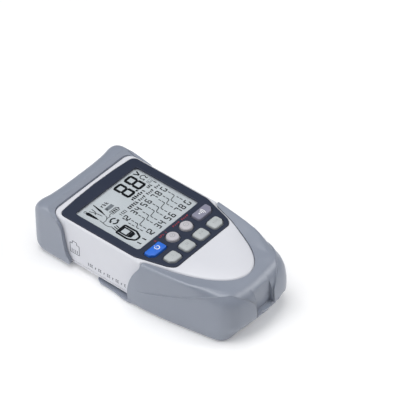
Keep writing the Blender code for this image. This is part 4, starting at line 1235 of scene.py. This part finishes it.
crease_points = sorted((run_at(x, y), z) for x, y, z in CREASE)
crease_end = crease_points[-1][0]
crease_line = np.array(spline(crease_points, 0.4))


def crease_at(x, y):
    """Profile run length at which the crease passes this column, and its step's height there."""
    run = run_at(x, y)
    z = float(np.interp(run, crease_line[:, 0], crease_line[:, 1]))
    crease = float(np.interp(z, profile[:, 0], profile_run))
    step = (0.36 * float(smoothstep(0.0, 12.0, crease_end - 6.0 - run))
            + 0.34 * (1.0 - float(smoothstep(14.0, 34.0, run))))
    return crease, 0.0 if y > 5 else step


def skin_share(y, z):
    """The arms roll over tighter than the end, and the plate has a small edge."""
    if z > 12.0:
        return (1.0 - 0.55 * float(smoothstep(-62.0, -42.0, y))
                * float(smoothstep(12.0, 24.0, z)))
    end = float(np.interp(z, [p[0] for p in END_UNDERCUT], [p[1] for p in END_UNDERCUT])) - 1.0
    return (1.0 - 0.53 * float(smoothstep(-8.0, -2.0, y)) * float(1.0 - smoothstep(2.6, 5.0, z))
            + end * float(smoothstep(-64.0, -76.0, y)))


def arm_lift(y):
    """How much higher the arms' tops are than the -Y end."""
    return 1.7 * smoothstep(-66.0, -46.0, y)


def remote_skin():
    """Rings of the skin; each column of points follows the profile, with rows at the crease."""
    rows_below, rows_above = 16, 22
    step_rows = (-0.42, -0.26, -0.17, -0.09, 0.0, 0.09, 0.26, 0.42)
    total = profile_run[-1]
    grid, shifts = [], []
    normals, _ = normals_of(remote_outline, SPREAD)
    for (x, y), normal in zip(np.array(remote_outline), normals):
        crease, step = crease_at(x, y)
        crease = min(max(crease, 4.0), total - 1.6)
        # fine rows over the lower edge, even rows to the crease, the crease, even rows on top
        runs = list(np.linspace(0.0, 3.0, 7))
        runs += list(np.linspace(3.0, crease - 0.42, rows_below))[1:-1]
        runs += [crease + offset for offset in step_rows]
        runs += list(np.linspace(crease + 0.42, total, rows_above))[1:]
        factor = 1.0 + 0.75 * normal[1] ** 2
        points, shift = [], []
        for run in runs:
            z = float(np.interp(run, profile_run, profile[:, 0]))
            depth = float(np.interp(run, profile_run, profile[:, 1])) * skin_share(y, z)
            points.append((x + normal[0] * depth * factor, y + normal[1] * depth * factor,
                           z + float(arm_lift(y)) * float(smoothstep(24.0, 33.6, z))))
            rise = 1.0 - float(smoothstep(-0.12, 0.1, run - crease))
            # the skin lies lower past the crease and comes up again near the top
            keep = float(smoothstep(total - 7.0, total - 1.0, run))
            bead = 0.30 * min(1.0, step / 0.3) * math.exp(-((run - crease + 0.17) / 0.13) ** 2)
            shift.append(step * (rise - 1.0 + keep * 0.75) + bead)
        grid.append(points)
        shifts.append(shift)
    grid = np.array(grid)                # column, row, xyz
    along = np.roll(grid, -1, axis=0) - np.roll(grid, 1, axis=0)
    upward = np.empty_like(grid)
    upward[:, 1:-1] = grid[:, 2:] - grid[:, :-2]
    upward[:, 0] = grid[:, 1] - grid[:, 0]
    upward[:, -1] = grid[:, -1] - grid[:, -2]
    outward = np.cross(along, upward)
    outward /= np.maximum(1e-9, np.linalg.norm(outward, axis=2, keepdims=True))
    moved = grid + outward * np.array(shifts)[:, :, None]
    return [[tuple(point) for point in ring] for ring in moved.swapaxes(0, 1)]


remote_rings = remote_skin()
remote_rim = [(x, y) for x, y, z in remote_rings[-1]]


def remote_top(points):
    """The top of the U: highest along the arms' outer crest, falling gently inwards."""
    lift = arm_lift(points[:, 1])
    inwards = distance_to(remote_rim, np.array(points))
    return REMOTE_PROFILE[-1][0] + lift - np.minimum(lift, 0.24 * inwards)


# ------------------------------------------------------------ remote terminal: shell
# the arms' +Y edge, falling to the plate: y, z
ARM_EDGE = [(-11.8, 40.0), (-11.6, 33.0), (-10.6, 31.0), (-8.4, 27.5), (-6.3, 23.5),
            (-4.2, 17.5), (-2.8, 10.0), (-2.6, 4.4), (-2.55, PLATE_TOP_Z + 0.4)]
arm_edge = spline(ARM_EDGE, 0.8)[:-1] + [(-2.4, PLATE_TOP_Z + 0.15), (-2.0, PLATE_TOP_Z)]
remote = loft(remote_rings, crowned_top(remote_top, 1.3))
# space over the plate, then the dock for the tongue and for the thick body
cut(remote,
    side_prism(arm_edge + [(60, PLATE_TOP_Z), (60, 40.0)], -60, 60),
    prism(inset(clip_y(body_outline, y_high=40), -0.09), TONGUE_Z - GAP, 60),
    prism(inset(clip_y(body_outline, y_low=THICK_END_Y, y_high=40), -GAP), PLATE_TOP_Z, 40))

# notch in the middle of the -Y end
notch_half_w, notch_z0, notch_z1 = 7.0, 14.2, 31.2
end_y = -76.6
notch_y = end_y + 3.1
notch_back = spline([(notch_y, notch_z0 + 0.5), (notch_y, 20.0), (notch_y + 0.2, 25.0),
                     (notch_y + 0.75, 28.5), (notch_y + 1.7, notch_z1)], 0.7)
notch_side = [(end_y - 8, notch_z0), (notch_y - 0.5, notch_z0), (notch_y - 0.12, notch_z0 + 0.12)]
notch_side += notch_back + [(end_y - 8, notch_z1 + 6)]
cut(remote, side_prism(notch_side, -notch_half_w, notch_half_w))


def remote_inset(distance, grow_y, y_high):
    return clip_y(inset(remote_outline, distance, grow_y, SPREAD), y_high=y_high)


# cavity, the opening under it and the wider seat of the cover
cover_outline = remote_inset(6.4, 1.3, REMOTE_CAVITY_Y - 2.0)
cut(remote,
    prism(remote_inset(3.6, 1.9, REMOTE_CAVITY_Y), 3.6, TONGUE_Z - 2.4),
    prism(remote_inset(8.0, 1.3, REMOTE_CAVITY_Y - 3.6), -1, 5),
    prism(cover_outline, -1, 2.1))
for x, y in REMOTE_SCREWS:
    add_boss(remote, x, y, 2.6, 2.1, TONGUE_Z - 1.4, pilot_top=15.0)
cut(remote, port_window(0.0, -34, -20, REMOTE_PORT_Z))
piece(remote, "remote_shell", "remote_terminal", GREY, "grey_shell", "remote_housing")

cover_line = inset(cover_outline, GAP)
cover = loft([level(inset(cover_line, 0.3), 0.1), level(cover_line, 0.4), level(cover_line, 1.8)])
for x, y in REMOTE_SCREWS:
    counterbore(cover, x, y, -1, 5, seat_radius=2.8, seat_top=1.0)
piece(cover, "remote_cover", "remote_terminal", GREY, "grey_shell", "remote_base_cover")
for number, place in enumerate(REMOTE_SCREWS, 1):
    screw("remote_fixing_%d" % number, "remote_screw_%d" % number, "remote_terminal", place,
          head_z=0.15, head_h=0.6, length=9.0)


# ------------------------------------------------------------ sockets
def socket(name, contacts, x, z_range, y_range, body, node, contact_node):
    """Eight-way modular socket with a flared mouth, and its sprung contact wires."""
    y_back, y_mouth = y_range
    facing = 1 if y_mouth > y_back else -1
    base = z_range[0] + 2.2

    def throat(half_w, z0, z1, flare):
        stations = ((y_mouth - facing * 12.6, 0.0), (y_mouth - facing * 1.2, 0.0),
                    (y_mouth - facing * 0.4, flare * 0.5), (y_mouth + facing * 1.0, flare * 1.6))
        return loft([[(x - half_w - out, y, z0 - out), (x + half_w + out, y, z0 - out),
                      (x + half_w + out, y, z1 + out), (x - half_w - out, y, z1 + out)]
                     for y, out in stations])

    form = box(x - PORT_W / 2, x + PORT_W / 2, *sorted(y_range), *z_range)
    cut(form, throat(5.95, base, base + 6.9, 0.35), throat(3.15, base + 5.0, base + 8.3, 0.25),
        throat(2.0, base + 7.0, base + 9.6, 0.25))
    piece(form, name, body, BLACK, "black_plastic", node, weighted=False)

    comb_y = y_mouth - facing * 12.2
    comb = box(x - 4.4, x + 4.4, *sorted((comb_y, comb_y + facing * 1.0)),
               base + GAP, base + 1.6)
    path = spline([(comb_y + facing * 0.6, base + 1.15), (comb_y + facing * 3.6, base + 0.95),
                   (comb_y + facing * 7.2, base + 0.62), (comb_y + facing * 8.2, base + 0.62)],
                  0.5)
    for k in range(8):
        wire_x = x + (k - 3.5) * 1.02
        join(comb, loft([[(ring_x, y, ring_z) for ring_x, ring_z in circle(wire_x, z, 0.2, 10)]
                         for y, z in path]))
    piece(comb, contacts, body, GOLD, "gold_contact", contact_node, weighted=False, angle=50)


for side, x in (("left", -PORT_X), ("right", PORT_X)):
    socket("socket_" + side, "contacts_" + side, x, PORT_Z, PORT_Y, "tester",
           "rj45_socket_" + side, "socket_contacts_" + side)
socket("remote_socket", "remote_contacts", 0.0, REMOTE_PORT_Z, REMOTE_PORT_Y, "remote_terminal",
       "remote_rj45_socket", "remote_socket_contacts")

# ------------------------------------------------------------ CAD nodes that keep their own shape
KEPT = {"lcd_backlight": GUIDE, "lcd_flex_cable": FLEX, "main_pcb": BOARD, "remote_pcb": BOARD,
        "main_ic": BLACK, "buzzer": BLACK, "battery_9v": JACKET, "battery_snap_connector": BLACK,
        "battery_lead_red": RED, "battery_lead_black": BLACK}
for name, node in NODES.items():
    mat = KEPT.get(name) or (BLACK if "switch" in name else None)
    if mat and not node.hide_render:
        paint(node, mat)

# ------------------------------------------------------------ floor
scene = bpy.context.scene
floor_bm = bmesh.new()
bmesh.ops.create_grid(floor_bm, x_segments=2, y_segments=2, size=3.0)
floor = obj_from_bm(floor_bm, "floor")
floor.location.z = -0.0001
paper = Graph("floor_paper")
paper.feed(paper.bsdf, {
    "Base Color": paper.mix(paper.uneven(60.0, 2.0, 0.0, 1.0),
                            (0.90, 0.90, 0.905), (0.92, 0.92, 0.925)),
    "Roughness": 0.9, "Specular IOR Level": 0.1,
    "Emission Color": (1.0, 1.0, 1.0), "Emission Strength": 0.16})
# seen from below, the floor doesn't hide the object
paper_mix = paper.node("ShaderNodeMixShader", {
    0: paper.geometry("Backfacing"), 1: paper.bsdf.outputs[0],
    2: paper.node("ShaderNodeBsdfTransparent").outputs[0]})
paper.feed(paper.output, {"Surface": paper_mix.outputs[0]})
floor.data.materials.append(paper.material)

# ------------------------------------------------------------ world and lights (metres, watts)
world = bpy.data.worlds.new("studio")
scene.world = world
world.use_nodes = True
background = world.node_tree.nodes["Background"]
background.inputs["Color"].default_value = (0.96, 0.98, 1.0, 1.0)
background.inputs["Strength"].default_value = 0.10


def softbox(name, direction, distance, size, watts):
    """Rectangular light that faces the middle of the tester."""
    data = bpy.data.lights.new(name, "AREA")
    data.shape = "RECTANGLE"
    data.size, data.size_y = size
    data.energy = watts
    lamp = bpy.data.objects.new(name, data)
    scene.collection.objects.link(lamp)
    toward = Vector(direction).normalized()
    lamp.location = Vector((0.0, -0.005, 0.02)) + toward * distance
    lamp.rotation_euler = toward.to_track_quat("Z", "Y").to_euler()


softbox("light_top", direction=(-0.08, 0.10, 0.99), distance=1.2, size=(1.0, 1.0), watts=11.5)
softbox("light_left_back", direction=(-0.70, 0.42, 0.40), distance=1.0, size=(0.7, 0.5),
        watts=3.5)
softbox("light_right_front", direction=(0.58, -0.54, 0.61), distance=1.0, size=(0.55, 0.40),
        watts=3.1)

# ------------------------------------------------------------ camera
CAMERA_TARGET = Vector((26.1, -12.6, 35.5)) * MM
CAMERA_DISTANCE = 1.529                  # metres
azimuth, elevation = math.radians(-50.1), math.radians(42.0)
camera_data = bpy.data.cameras.new("camera")
camera_data.lens = 222.86
camera_data.sensor_width = 36.0
camera_data.clip_start = 0.05
camera = bpy.data.objects.new("camera", camera_data)
scene.collection.objects.link(camera)
to_camera = Vector((math.sin(azimuth) * math.cos(elevation),
                    -math.cos(azimuth) * math.cos(elevation), math.sin(elevation)))
camera.location = CAMERA_TARGET + to_camera * CAMERA_DISTANCE
camera.rotation_euler = to_camera.to_track_quat("Z", "Y").to_euler()
scene.camera = camera
scene.view_settings.view_transform = "Standard"
scene.view_settings.look = "None"
